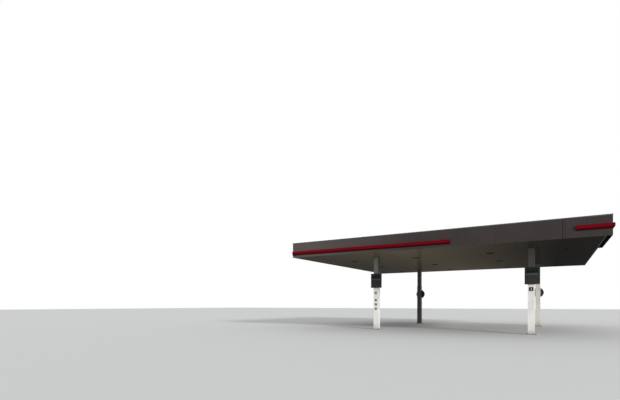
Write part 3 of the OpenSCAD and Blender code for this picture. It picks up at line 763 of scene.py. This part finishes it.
def fixings_tree():
    tree, start = geometry_tree("fixings", fixing_inputs)
    washer = disc(tree, washer_sides, start["Washer Radius"], start["Washer Height"], 0.0)
    head = disc(tree, start["Head Sides"], start["Head Radius"], start["Head Height"], start["Washer Height"])
    top = calc(tree, "ADD", start["Washer Height"], start["Head Height"])
    stud = disc(tree, stud_sides, start["Stud Radius"], start["Stud Height"], top)
    facing = add_node(tree, "GeometryNodeInputNamedAttribute", {"Name": "facing"}, data_type="FLOAT_VECTOR")
    aim = add_node(tree, "FunctionNodeAlignRotationToVector", {"Vector": facing.outputs[0]}, axis="Z")
    random = add_node(tree, "FunctionNodeRandomValue", {"Seed": start["Seed"]}, data_type="FLOAT")
    angles = vector(tree, Z=calc(tree, "MULTIPLY", random.outputs[1], math.pi))
    spin = add_node(tree, "FunctionNodeEulerToRotation", {0: angles})
    sockets = {0: aim.outputs[0], 1: spin.outputs[0]}
    turn = add_node(tree, "FunctionNodeRotateRotation", sockets, rotation_space="LOCAL")
    fixing = joined(tree, stud, head, washer)
    end_tree(tree, copies(tree, start["Geometry"], fixing, Rotation=turn.outputs[0]), start["Finish"])
    return tree


fixings = fixings_tree()
print("tree", fixings.name, "inputs", len(fixing_inputs))

# %% [markdown]
# A fixing is chosen from a short list, as from a catalogue: washer radius and height, head radius
# and height, sides of the head, and the radius and height of the tip that stands out of the head.
# Sizes are in metres.

# %% A catalogue of fixings
deck_screw = (0.016, 0.003, 0.008, 0.007, 6, 0.003, 0.0005)
small_screw = (0.007, 0.001, 0.005, 0.003, 10, 0.002, 0.0004)
rivet = (0.006, 0.0012, 0.0045, 0.0012, 10, 0.0028, 0.0008)
anchor_nut = (0.025, 0.004, 0.0205, 0.020, 6, 0.012, 0.022)
head_nut = (0.021, 0.003, 0.017, 0.016, 6, 0.010, 0.012)
zinc_bright = (0.42, 0.42, 0.41)
zinc_worn = (0.30, 0.29, 0.28)
fixing_seed = 7
hair = 1e-6
up, down = Vector((0, 0, 1)), Vector((0, 0, -1))
toward_right, toward_left = Vector((1, 0, 0)), Vector((-1, 0, 0))
toward_rear, toward_front = Vector((0, 1, 0)), Vector((0, -1, 0))


def place_fixings(name, kind, spots, finish, slot):
    mesh = bpy.data.meshes.new(name)
    mesh.from_pydata([place for place, facing in spots], [], [])
    facings = mesh.attributes.new("facing", "FLOAT_VECTOR", "POINT")
    facings.data.foreach_set("vector", [v for place, facing in spots for v in facing])
    values = dict(zip(fixing_inputs, (*kind, fixing_seed, finish.material)))
    seat(grow(new_object(name, mesh), fixings, values), slot)


def spread(low, high, pitch, margin):
    low, high = low + margin, high - margin
    count = max(1, math.ceil((high - low) / pitch - hair))
    return [low + (high - low) * i / count for i in range(count + 1)]


def four_around(across, along, half_across, half_along):
    return [(across + a, along + b) for a in (-half_across, half_across) for b in (-half_along, half_along)]


zinc = Finish("bright_zinc", zinc_bright, zinc_worn, roughness=0.35, gloss=0.5, patch=0.05)
zinc.put("Metallic", 0.8)
print("fixings in the catalogue: deck screw, small screw, rivet, anchor nut, head nut")

# %% [markdown]
# Each column stands on a base plate held by four anchor bolts. The holes of the plate are 420 mm
# apart, and a nut with its washer closes each one, with the end of the bolt standing above it.

# %% Anchor nuts
columns = ["column_front_left", "column_front_right", "column_rear_left", "column_rear_right"]
anchor_half = 0.210
plate_top = 0.025


def middle_of(low, high):
    return (low + high) / 2


def column_nuts(name, kind, half_x, half_y, height):
    spots = []
    for node in columns:
        centre = middle_of(*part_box(node))
        spots += [((x, y, height), up) for x, y in four_around(centre.x, centre.y, half_x, half_y)]
    place_fixings(name, kind, spots, zinc, "frame_steel")


column_nuts("anchor_nuts", anchor_nut, anchor_half, anchor_half, plate_top)

# %% [markdown]
# The deck is screwed down through its ribs, not its pans, so that no screw stands in water. There is
# one row of screws over each cross beam. The ribs are found from the deck's width and their pitch,
# and the height of a rib from the fall between the two ends of the deck.

# %% Deck screws
decks = (("roof_deck_rear", 1), ("roof_deck_front", -1))
rib_pitch = 0.300
rib_height = 0.048
gutter_half = 0.200
beam_from_gutter = 0.200
beam_width = 0.100
rows_on_a_side = 3


def rib_centres(low, high):
    count = math.floor((high.x - low.x) / rib_pitch + hair)
    margin = (high.x - low.x - count * rib_pitch) / 2
    return [low.x + margin + (i + 0.5) * rib_pitch for i in range(count)]


def gutter_edge_first(low, high):
    return sorted((low.y, high.y), key=lambda edge: abs(edge - gutter_y))


def crest_height(low, high, y):
    inner, outer = gutter_edge_first(low, high)
    return low.z + rib_height + (y - inner) / (outer - inner) * (high.z - low.z - rib_height)


first_row = gutter_half + beam_from_gutter + beam_width / 2
last_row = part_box("cross_beams")[1].y - gutter_y - beam_width / 2
deck_spots = []
for node, side in decks:
    low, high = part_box(node)
    for i in range(rows_on_a_side):
        y = gutter_y + side * (first_row + (last_row - first_row) * i / (rows_on_a_side - 1))
        deck_spots += [((x, y, crest_height(low, high, y)), up) for x in rib_centres(low, high)]
place_fixings("deck_screws", deck_screw, deck_spots, zinc, "frame_steel")

# %% [markdown]
# The coping is screwed on its inner lip, where nobody sees it from the ground. The folded edge under
# the fascia takes a screw every half metre.

# %% Coping and fascia screws
coping_in = 0.110
lip_drop = 0.030
lip_pitch, lip_margin = 0.6, 0.3
fold_mid = 0.020
fold_pitch = 0.5
long_margin, side_margin = 0.12, 0.3
lip_left, lip_right = left_end + coping_in, right_side - coping_in
lip_front, lip_rear = front + coping_in, rear - coping_in
lip_z = fascia_top - lip_drop

lip_spots = []
for x in spread(lip_left, lip_right, lip_pitch, lip_margin):
    lip_spots += [((x, lip_front, lip_z), toward_rear), ((x, lip_rear, lip_z), toward_front)]
for y in spread(lip_front, lip_rear, lip_pitch, lip_margin):
    lip_spots += [((lip_left, y, lip_z), toward_right), ((lip_right, y, lip_z), toward_left)]
place_fixings("coping_screws", small_screw, lip_spots, zinc, "frame_steel")

fold_spots = []
for x in spread(left_end, right_side, fold_pitch, long_margin):
    fold_spots += [((x, y, soffit), down) for y in (front + fold_mid, rear - fold_mid)]
for x, start in ((left_end + fold_mid, front), (right_side - fold_mid, corner_end)):
    fold_spots += [((x, y, soffit), down) for y in spread(start, rear, fold_pitch, side_margin)]
place_fixings("fascia_fold_screws", small_screw, fold_spots, fascia_strip, "fascia_panel")

# %% [markdown]
# The cladding of a pillar is four folded sheets. A thin angle covers each corner, held by rivets.
# The angle is an L-shaped outline pushed upwards, with its edges rounded by a small bevel, so that
# it catches a line of light as a folded edge does. The corners of the fascia are covered in the same
# way, but there the light bars are in the way, so an angle comes in lengths above and below them.

# %% Helpers for mesh pieces
sharp_angle = 0.3


def on_plan(points):
    return [Vector((x, y, 0)) for x, y in points]


def on_wall(points):
    return [Vector((x, 0, z)) for x, z in points]


def bridge(bm, ring, after):
    for i in range(len(ring)):
        j = (i + 1) % len(ring)
        bm.faces.new((ring[i], ring[j], after[j], after[i]))


def add_solid(bm, near, far):
    first, last = ([bm.verts.new(point) for point in points] for points in (near, far))
    bm.faces.new(first[::-1])
    bm.faces.new(last)
    bridge(bm, first, last)


def add_prism(bm, outline, start, along):
    add_solid(bm, [start + point for point in outline], [start + along + point for point in outline])


def finish_mesh(name, bm, finish, bevel=0.0, segments=1):
    bmesh.ops.recalc_face_normals(bm, faces=bm.faces[:])
    if bevel:
        sharp = [edge for edge in bm.edges if edge.is_manifold and edge.calc_face_angle() > sharp_angle]
        bmesh.ops.bevel(bm, geom=sharp, offset=bevel, segments=segments, affect="EDGES", clamp_overlap=True)
    mesh = bpy.data.meshes.new(name)
    bm.to_mesh(mesh)
    bm.free()
    mesh.materials.append(finish.material)
    return new_object(name, mesh)

# %% Pillar corner angles
angle_leg = 0.030
angle_out = 0.0015
fine_bevel = 0.0006
rivet_pitch, rivet_margin = 0.42, 0.12


def add_angle(bm, corner, sx, sy, low_z, high_z, leg_x, leg_y):
    out = angle_out
    section = [(out, out), (-leg_x, out), (-leg_x, 0), (0, 0), (0, -leg_y), (out, -leg_y)]
    outline = on_plan([(sx * x, sy * y) for x, y in section])
    add_prism(bm, outline, Vector((*corner, low_z)), up * (high_z - low_z))


def corner_angles(pillar, paint, slot):
    low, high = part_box("pillar_cladding_" + pillar)
    bm = bmesh.new()
    spots = []
    for sx, x in ((-1, low.x), (1, high.x)):
        for sy, y in ((-1, low.y), (1, high.y)):
            add_angle(bm, (x, y), sx, sy, low.z, high.z, angle_leg, angle_leg)
            for z in spread(low.z, high.z, rivet_pitch, rivet_margin):
                spots.append(((x - sx * angle_leg / 2, y + sy * angle_out, z), (0, sy, 0)))
                spots.append(((x + sx * angle_out, y - sy * angle_leg / 2, z), (sx, 0, 0)))
    name = "corner_angles_" + pillar
    seat(finish_mesh(name, bm, pillar_paints[paint], fine_bevel), slot)
    place_fixings(name + "_rivets", rivet, spots, pillar_paints[paint], slot)


corner_angles("front_left", "cladding_white", "white_panel")
corner_angles("front_right", "cladding_white", "white_panel")
corner_angles("rear_left", "cladding_dark", "dark_paint")
corner_angles("rear_right", "cladding_cream", "cream_panel")

# %% Fascia corner angles
left_bar_low, left_bar_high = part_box("light_bar_left")
right_bar_low, right_bar_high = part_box("light_bar_right")
front_leg = 0.020
side_leg = 0.055
rivet_in = side_leg * 0.85
side_rivet_pitch, side_rivet_margin = 0.35, 0.04
under_lip = 0.06
corner_lengths = [
    (left_end, front, -1, -1, soffit, left_bar_low.z),
    (left_end, front, -1, -1, left_bar_high.z, fascia_top),
    (right_end, front, 1, -1, soffit, right_bar_low.z),
    (right_end, front, 1, -1, right_bar_high.z, fascia_top),
    (left_end, rear, -1, 1, soffit, fascia_top),
    (right_side, rear, 1, 1, soffit, fascia_top),
]
angles = bmesh.new()
angle_rivets = []
for x, y, sx, sy, low_z, high_z in corner_lengths:
    add_angle(angles, (x, y), sx, sy, low_z, high_z, front_leg, side_leg)
    for z in spread(low_z, min(high_z, fascia_top - under_lip), side_rivet_pitch, side_rivet_margin):
        angle_rivets.append(((x + sx * angle_out, y - sy * rivet_in, z), (sx, 0, 0)))
behind_bar = on_plan([(0, 0), (-angle_out, 0), (-angle_out, side_leg), (0, side_leg)])
bar_height = left_bar_high.z - left_bar_low.z
add_prism(angles, behind_bar, Vector((left_end, front, left_bar_low.z)), up * bar_height)
seat(finish_mesh("fascia_corner_angles", angles, fascia_strip, fine_bevel), "fascia_panel")
place_fixings("fascia_corner_rivets", rivet, angle_rivets, fascia_strip, "fascia_panel")

# %% [markdown]
# Under the boxed-out corner, a narrow paler strip covers the joint between the last soffit tray and
# the dark plate beside it. It is a flat bar with rounded edges.

# %% Soffit edge strip
strip_half = 0.014
strip_drop = 0.0025
strip_bevel = 0.0008
plate_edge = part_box("corner_underside")[0]
strip_grey, strip_aged = (0.062, 0.062, 0.064), (0.080, 0.079, 0.078)
edge_grey = moulded_plastic("edge_grey", strip_grey, strip_aged, roughness=0.5, gloss=0.1)
section = on_wall([(-strip_half, 0), (strip_half, 0), (strip_half, -strip_drop), (-strip_half, -strip_drop)])
strip = bmesh.new()
add_prism(strip, section, plate_edge, toward_rear * (corner_end - plate_edge.y))
seat(finish_mesh("soffit_edge_strip", strip, edge_grey, strip_bevel), "soffit_panel")

# %% [markdown]
# The long copings would end open at the corners, so a lip closes each end, flush with the lip that
# runs on along the side. A rubber gasket with a small bead closes the open joint beside the joint
# strip from behind, which makes the joint one even dark line.

# %% Coping ends and joint gasket
coping_over = 0.010
coping_thickness = 0.003
behind_lip = coping_over - coping_thickness
lip_low, lip_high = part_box("coping_front")
gasket_back = 0.018
gasket_end = 0.005
gasket_bead = [(-0.032, 0), (0.012, 0), (0.012, -0.002), (-0.006, -0.002),
               (-0.010, -0.007), (-0.014, -0.002), (-0.032, -0.002)]


def add_plate(bm, x0, x1, y0, y1):
    outline = on_plan([(x0, y0), (x1, y0), (x1, y1), (x0, y1)])
    add_prism(bm, outline, up * lip_low.z, up * (lip_high.z - coping_thickness - lip_low.z))


ends = bmesh.new()
for x, y, sx, sy in ((left_end, front, -1, -1), (right_end, front, 1, -1),
                     (left_end, rear, -1, 1), (right_side, rear, 1, 1)):
    outer, inner = x + sx * coping_over, x + sx * behind_lip
    add_plate(ends, outer, inner, y + sy * behind_lip, y - sy * coping_in)
outer, inner = corner_end + coping_over, corner_end + behind_lip
add_plate(ends, right_side + coping_over, right_end + behind_lip, inner, outer)
seat(finish_mesh("coping_ends", ends, coping, fine_bevel), "fascia_panel")

gasket = bmesh.new()
gasket_foot = Vector((strip_left, front + gasket_back, soffit + gasket_end))
add_prism(gasket, on_plan(gasket_bead), gasket_foot, up * (fascia_top - soffit - 2 * gasket_end))
seat(finish_mesh("joint_gasket", gasket, underside_finish, fine_bevel), "fascia_panel")

# %% [markdown]
# A light bar is a row of moulded covers, 2 m long, on a dark tray. It could be one long prism, but
# the joints and the closed ends are what make it read as covers. Each cover is the bar's outline
# pushed along the wall. At the corner box the two runs meet in a mitred corner piece, which has no
# lamp behind it and looks darker: its end runs on by as much as each point of the outline stands out
# from the wall.

# %% Helpers for light bars
bar_out = front - left_bar_low.y
foot_depth = 0.024
chamfer = 0.012
cover_length = 1.98
cover_gap = 0.006
cap_thickness = 0.008
corner_leg = 0.012
cap_joint = 0.001
tray_inset = 0.007
tray_bevel = 0.0012
cover_bevel = 0.003


def bar_outline(height, inset=0.0):
    return [(0.0, inset), (foot_depth - inset, inset), (bar_out - inset, slope_height + inset * 0.5),
            (bar_out - inset, height - chamfer - inset * 0.5),
            (bar_out - chamfer - inset * 0.5, height - inset), (0.0, height - inset)]


def add_cover(bm, outline, wall, first, last, mitre_first=0, mitre_last=0):
    start, run, outward = wall
    near = [start + run * (first - mitre_first * o) + outward * o + up * z for o, z in outline]
    far = [start + run * (last + mitre_last * o) + outward * o + up * z for o, z in outline]
    add_solid(bm, near, far)


def cover_joints(first, last):
    count = max(1, round((last - first) / cover_length))
    step = (last - first) / count
    return [(first + i * step, first + (i + 1) * step) for i in range(count)]


def light_bar(node, *runs):
    low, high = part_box(node)
    outline = bar_outline(high.z - low.z)
    inner = bar_outline(high.z - low.z, tray_inset)
    covers, tray = bmesh.new(), bmesh.new()
    for corner, run, outward, length, mitre_first, mitre_last in runs:
        wall = (Vector((*corner, low.z)), run, outward)
        first = corner_leg if mitre_first else cap_thickness
        last = length - (corner_leg if mitre_last else cap_thickness)
        for start, end in cover_joints(first, last):
            add_cover(covers, outline, wall, start + cover_gap / 2, end - cover_gap / 2)
        add_cover(tray, inner, wall, first, last)
        add_cover(tray, outline, wall, 0.0, first - cap_joint, mitre_first, 0)
        add_cover(tray, outline, wall, last + cap_joint, length, 0, mitre_last)
    seat(finish_mesh(node + "_tray", tray, red_dark, tray_bevel), "red_plastic", node)
    seat(finish_mesh(node + "_covers", covers, red_covers[node], cover_bevel, 2), "red_plastic")

# %% Light bars
light_bar("light_bar_left",
          ((left_end, front), toward_right, toward_front, left_bar_high.x - left_end, 0, 0))
light_bar("light_bar_right",
          ((right_bar_low.x, front), toward_right, toward_front, right_end - right_bar_low.x, 0, 1),
          ((right_end, front), toward_rear, toward_right, corner_end - front, 1, 0))
print("covers stand out", round(bar_out, 3))

# %% [markdown]
# A lamp in the soffit reads as a lamp by its ribbed lens. The fittings are found on the node itself:
# points that lie near each other belong to one fitting. One rib is drawn for each, and a small
# Geometry Nodes tree repeats it with a count and a step.

# %% Helpers for clusters and rows
def clusters(node, reach):
    shape = NODES[node]
    boxes = []
    for vertex in shape.data.vertices:
        point = shape.matrix_world @ vertex.co
        for box in boxes:
            if all(box[0][i] - reach < point[i] < box[1][i] + reach for i in range(3)):
                box[0] = [min(box[0][i], point[i]) for i in range(3)]
                box[1] = [max(box[1][i], point[i]) for i in range(3)]
                break
        else:
            boxes.append([list(point), list(point)])
    return [(Vector(low), Vector(high)) for low, high in boxes]


def row_tree():
    tree, start = geometry_tree("row", {"Count": "Int", "Step": "Vector", "Finish": "Material"})
    line = add_node(tree, "GeometryNodeMeshLine", {"Count": start["Count"], "Offset": start["Step"]})
    end_tree(tree, copies(tree, line.outputs[0], start["Geometry"]), start["Finish"])
    return tree


def repeat_row(name, bm, finish, slot, count, step):
    values = {"Count": count, "Step": (step, 0.0, 0.0), "Finish": finish.material}
    seat(grow(finish_mesh(name, bm, finish), row, values), slot)


row = row_tree()
print("tree", row.name)

# %% Lamp lenses and their screws
lamp_half = 0.200
lens_half = 0.190
lens_rise = 0.030
frame_mid = 0.012
rib_step = 0.0125
rib_width = rib_step * 0.94
rib_drop = 0.006
rib_count = int(2 * lens_half / rib_step)
lens_grey = (0.050, 0.049, 0.045)
lens_dust = (0.062, 0.060, 0.054)
lens_finish = Finish("lens_glass", lens_grey, lens_dust, roughness=0.22, gloss=0.25, patch=0.15, grain=0.002)
lens_rib = on_wall([(0, 0), (rib_width, 0), (rib_width / 2, -rib_drop)])
lamps = clusters("recessed_lights", reach=0.5)
ribs = bmesh.new()
lamp_screws = []
for low, high in lamps:
    centre = middle_of(low, high)
    corner = Vector((centre.x - lens_half, centre.y - lens_half, soffit + lens_rise))
    add_prism(ribs, lens_rib, corner, toward_rear * 2 * lens_half)
    spots = four_around(centre.x, centre.y, lamp_half + frame_mid, lamp_half + frame_mid)
    lamp_screws += [((x, y, low.z), down) for x, y in spots]
repeat_row("lens_ribs", ribs, lens_finish, "light_housing", rib_count, rib_step)
place_fixings("lamp_screws", small_screw, lamp_screws, housing_finish, "light_housing")
print("lamps", len(lamps), "ribs on each", rib_count)

# %% [markdown]
# The hollow ribs of the deck are closed with shaped fillers at both ends, against birds and driven
# rain. Four fillers are drawn under the first rib, and the same row tree carries them to all the
# others. A dome of wires stands over each outlet of the gutter, so that leaves can't block it: one
# bent wire is copied around the axis, with the number of wires as an input.

# %% Rib fillers
filler_depth = 0.020
filler_inset = 0.0015
filler_fit = 0.97
rib_outline = [(-0.060, 0.0), (0.060, 0.0), (0.035, 0.045), (-0.035, 0.045)]
filler = on_wall([(x * filler_fit, max(filler_inset, z - filler_inset)) for x, z in rib_outline])
fillers = bmesh.new()
for node, side in decks:
    low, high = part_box(node)
    centres = rib_centres(low, high)
    for y, inward in zip(gutter_edge_first(low, high), (side, -side)):
        start = Vector((centres[0], y + inward * filler_inset, crest_height(low, high, y) - rib_height))
        add_prism(fillers, filler, start, toward_rear * (inward * filler_depth))
repeat_row("rib_fillers", fillers, trim_finish, "deck_sheet", len(centres), rib_pitch)
print("fillers under", len(centres), "ribs on each side")

# %% Leaf guards
outlet_from_column = 0.195
guard_foot = 0.066
guard_sizes = {"Radius": 0.062, "Height": 0.090, "Wire": 0.002, "Wires": 12}
wire_bulge = 1.1
wire_steps, ring_steps, wire_sides = 10, 32, 6


def wire_dome_tree():
    tree, start = geometry_tree("wire_dome", {
        "Radius": "Float", "Height": "Float", "Wire": "Float", "Wires": "Int", "Finish": "Material"})
    bend = vector(tree, X=start["Radius"], Z=calc(tree, "MULTIPLY", start["Height"], wire_bulge))
    sockets = {"Resolution": wire_steps, "Start": vector(tree, X=start["Radius"]), "Middle": bend,
               "End": vector(tree, Z=start["Height"])}
    arc = add_node(tree, "GeometryNodeCurveQuadraticBezier", sockets)
    sockets = {"Resolution": ring_steps, "Radius": start["Radius"]}
    ring = add_node(tree, "GeometryNodeCurvePrimitiveCircle", sockets)
    sockets = {"Resolution": wire_sides, "Radius": start["Wire"]}
    profile = add_node(tree, "GeometryNodeCurvePrimitiveCircle", sockets)
    wires = []
    for curve in (arc, ring):
        sockets = {"Curve": curve.outputs[0], "Profile Curve": profile.outputs[0], "Fill Caps": True}
        wires.append(add_node(tree, "GeometryNodeCurveToMesh", sockets).outputs[0])
    spots = add_node(tree, "GeometryNodeMeshLine", {"Count": start["Wires"], "Offset": (0.0, 0.0, 0.0)})
    index = tree.nodes.new("GeometryNodeInputIndex").outputs[0]
    angle = calc(tree, "DIVIDE", calc(tree, "MULTIPLY", index, 2 * math.pi), start["Wires"])
    around = copies(tree, spots.outputs[0], wires[0], Rotation=vector(tree, Z=angle))
    end_tree(tree, copies(tree, start["Geometry"], joined(tree, around, wires[1])), start["Finish"])
    return tree


spots = bpy.data.meshes.new("leaf_guards")
outlets = [middle_of(*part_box(node)).x + outlet_from_column for node in columns if "rear" in node]
spots.from_pydata([(x, gutter_y, gutter_low.z + guard_foot) for x in outlets], [], [])
values = {**guard_sizes, "Finish": zinc.material}
seat(grow(new_object("leaf_guards", spots), wire_dome_tree(), values), "frame_steel")
print("guards stand at", round(gutter_low.z + guard_foot, 3))

# %% [markdown]
# Above the soffit, out of sight, four bolts join each column to its main beam. Their nuts sit on the
# lower flange of the beam, on both sides of its web.

# %% Column head nuts
head_bolt_x = 0.055
head_bolt_y = 0.110
beam_flange = 0.013
flange_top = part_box("main_beam_left")[0].z + beam_flange
column_nuts("column_head_nuts", head_nut, head_bolt_x, head_bolt_y, flange_top)

# %% [markdown]
# A sign face is held by a thin folded rim. The same rim is what stiffens a round sign, and both are
# made alike: a small section is carried around a path, and at each point of the path it stands
# square to the turn. With four points that gives mitred corners, with many a circle.

# %% Helpers for rims
def add_rim(bm, path, section):
    rings = []
    for point, outward in path:
        rings.append([bm.verts.new(point + outward * o + toward_front * d) for o, d in section])
    for i, ring in enumerate(rings):
        bridge(bm, ring, rings[(i + 1) % len(rings)])


def square_path(low, high, y):
    corners = [(low.x, low.z, -1, -1), (high.x, low.z, 1, -1),
               (high.x, high.z, 1, 1), (low.x, high.z, -1, 1)]
    return [(Vector((x, y, z)), Vector((sx, 0, sz))) for x, z, sx, sz in corners]


def circle(radius, sides):
    turns = [2 * math.pi * i / sides for i in range(sides)]
    return [(radius * math.cos(turn), radius * math.sin(turn)) for turn in turns]


def round_path(centre, radius, sides):
    return [(centre + way * radius, way) for way in on_wall(circle(1.0, sides))]

# %% Rims and screws of the sign boxes
fold_section = [(-0.006, 0.0), (0.014, 0.0), (0.014, 0.004),
                (0.012, 0.006), (-0.004, 0.006), (-0.006, 0.004)]
fold_thickness = 0.006
screw_out = 0.006
rim_pitch = 0.25
level_margin, upright_margin = 0.03, 0.10
rim_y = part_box("sign_box_left")[0].y
rims = bmesh.new()
rim_screws = []
for low, high in clusters("sign_faces", reach=1.0):
    add_rim(rims, square_path(low, high, rim_y), fold_section)
    ends_x = (low.x - screw_out, high.x + screw_out)
    ends_z = (low.z - screw_out, high.z + screw_out)
    places = [(x, z) for x in spread(low.x, high.x, rim_pitch, level_margin) for z in ends_z]
    places += [(x, z) for z in spread(low.z, high.z, rim_pitch, upright_margin) for x in ends_x]
    rim_screws += [((x, rim_y - fold_thickness, z), toward_front) for x, z in places]
seat(finish_mesh("sign_rims", rims, trim_finish), "dark_trim")
place_fixings("sign_rim_screws", small_screw, rim_screws, trim_finish, "dark_trim")

# %% [markdown]
# A red plate with a white numeral tells a driver which pillar this is. The numeral is a text curve
# with a little thickness. It is made a mesh first and then moved, point by point, onto the plate.

# %% Number plate
plate_low, plate_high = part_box("number_plate")
plate_middle = middle_of(plate_low, plate_high)
numeral_height = 0.135
numeral_half_depth = 0.0006
numeral_out = 0.0005
height_of_digits = 0.70
plate_screw_in = 0.014


def numeral(text, place):
    curve = bpy.data.curves.new("numeral", "FONT")
    curve.body = text
    curve.size = numeral_height / height_of_digits
    curve.align_x = "CENTER"
    curve.extrude = numeral_half_depth
    drawn = new_object("numeral_drawing", curve)
    mesh = plain_mesh(drawn)
    bpy.data.objects.remove(drawn)
    for vertex in mesh.vertices:
        x, z, depth = vertex.co
        vertex.co = Vector((place.x + x, place.y - depth, place.z + z - numeral_height / 2))
    mesh.materials.clear()
    mesh.materials.append(plate_white.material)
    return new_object("plate_numeral", mesh)


seat(numeral("3", Vector((plate_middle.x, plate_low.y - numeral_out, plate_middle.z))), "white_panel")
plate_screws = []
for x in (plate_low.x + plate_screw_in, plate_high.x - plate_screw_in):
    for z in (plate_low.z + plate_screw_in, plate_high.z - plate_screw_in):
        plate_screws.append(((x, plate_low.y, z), toward_front))
place_fixings("plate_screws", small_screw, plate_screws, zinc, "frame_steel")

# %% [markdown]
# The round symbols on the left pillar are too small in the picture to read. Each gets a generic mark
# and nothing more: a pale field in its dark ring with a slanted bar, and on the second disc a
# diamond.

# %% Symbol discs
field_radius = 0.030
field_sides = 40
field_thickness = 0.0006
mark_thickness = 0.0005
bar_half = 0.007
diamond_half = 0.020


def rectangle(half_x, half_z, turn):
    c, s = math.cos(turn), math.sin(turn)
    corners = [(-half_x, -half_z), (half_x, -half_z), (half_x, half_z), (-half_x, half_z)]
    return on_wall([(x * c - z * s, x * s + z * c) for x, z in corners])


fields, marks = bmesh.new(), bmesh.new()
symbols = sorted(clusters("symbol_discs", reach=0.05), key=lambda box: -box[0].z)
for number, (low, high) in enumerate(symbols):
    centre = Vector(((low.x + high.x) / 2, low.y, (low.z + high.z) / 2))
    add_prism(fields, on_wall(circle(field_radius, field_sides)), centre, toward_front * field_thickness)
    mark = rectangle(field_radius, bar_half, -math.pi / 4)
    if number == 1:
        mark = rectangle(diamond_half, diamond_half, math.pi / 4)
    add_prism(marks, mark, centre + toward_front * field_thickness, toward_front * mark_thickness)
seat(finish_mesh("symbol_fields", fields, plate_white), "white_panel")
seat(finish_mesh("symbol_marks", marks, disc_dark), "dark_plastic")
print("symbols", len(symbols))

# %% [markdown]
# The round signs behind the rear pillars show only their backs from here. A folded rim runs around
# each, and four small bolts hold the wall flange of its arm.

# %% Round signs
sign_section = [(-0.016, -0.024), (0.0, -0.024), (0.004, -0.020),
                (0.004, 0.004), (0.0, 0.008), (-0.016, 0.008)]
sign_thickness = 0.020
sign_sides = 96
flange_thickness = 0.008
flange_bolt_half = 0.047
flange_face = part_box("pillar_cladding_rear_left")[1].y + flange_thickness
sign_rims = bmesh.new()
flange_bolts = []
for node in ("round_sign_left", "round_sign_right"):
    low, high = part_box(node)
    radius = (high.z - low.z) / 2
    middle = Vector((high.x - radius, high.y - sign_thickness, (low.z + high.z) / 2))
    add_rim(sign_rims, round_path(middle, radius, sign_sides), sign_section)
    places = four_around(middle.x, middle.z, flange_bolt_half, flange_bolt_half)
    flange_bolts += [((x, flange_face, z), toward_rear) for x, z in places]
seat(finish_mesh("round_sign_rims", sign_rims, trim_finish), "dark_trim")
place_fixings("sign_flange_bolts", small_screw, flange_bolts, zinc, "frame_steel")

# %% [markdown]
# Last, two screws hold each end cap of the light bars.

# %% End cap screws
screw_from_wall = 0.030
screw_heights = (0.075, 0.200)
cap_ends = (
    (left_end, front - screw_from_wall, left_bar_low.z, toward_left),
    (left_bar_high.x, front - screw_from_wall, left_bar_low.z, toward_right),
    (right_bar_low.x, front - screw_from_wall, right_bar_low.z, toward_left),
    (right_end + screw_from_wall, corner_end, right_bar_low.z, toward_rear),
)
cap_spots = [((x, y, z + rise), way) for x, y, z, way in cap_ends for rise in screw_heights]
place_fixings("end_cap_screws", small_screw, cap_spots, red_dark, "red_plastic")

# %% Measure the finished object
low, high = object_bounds()
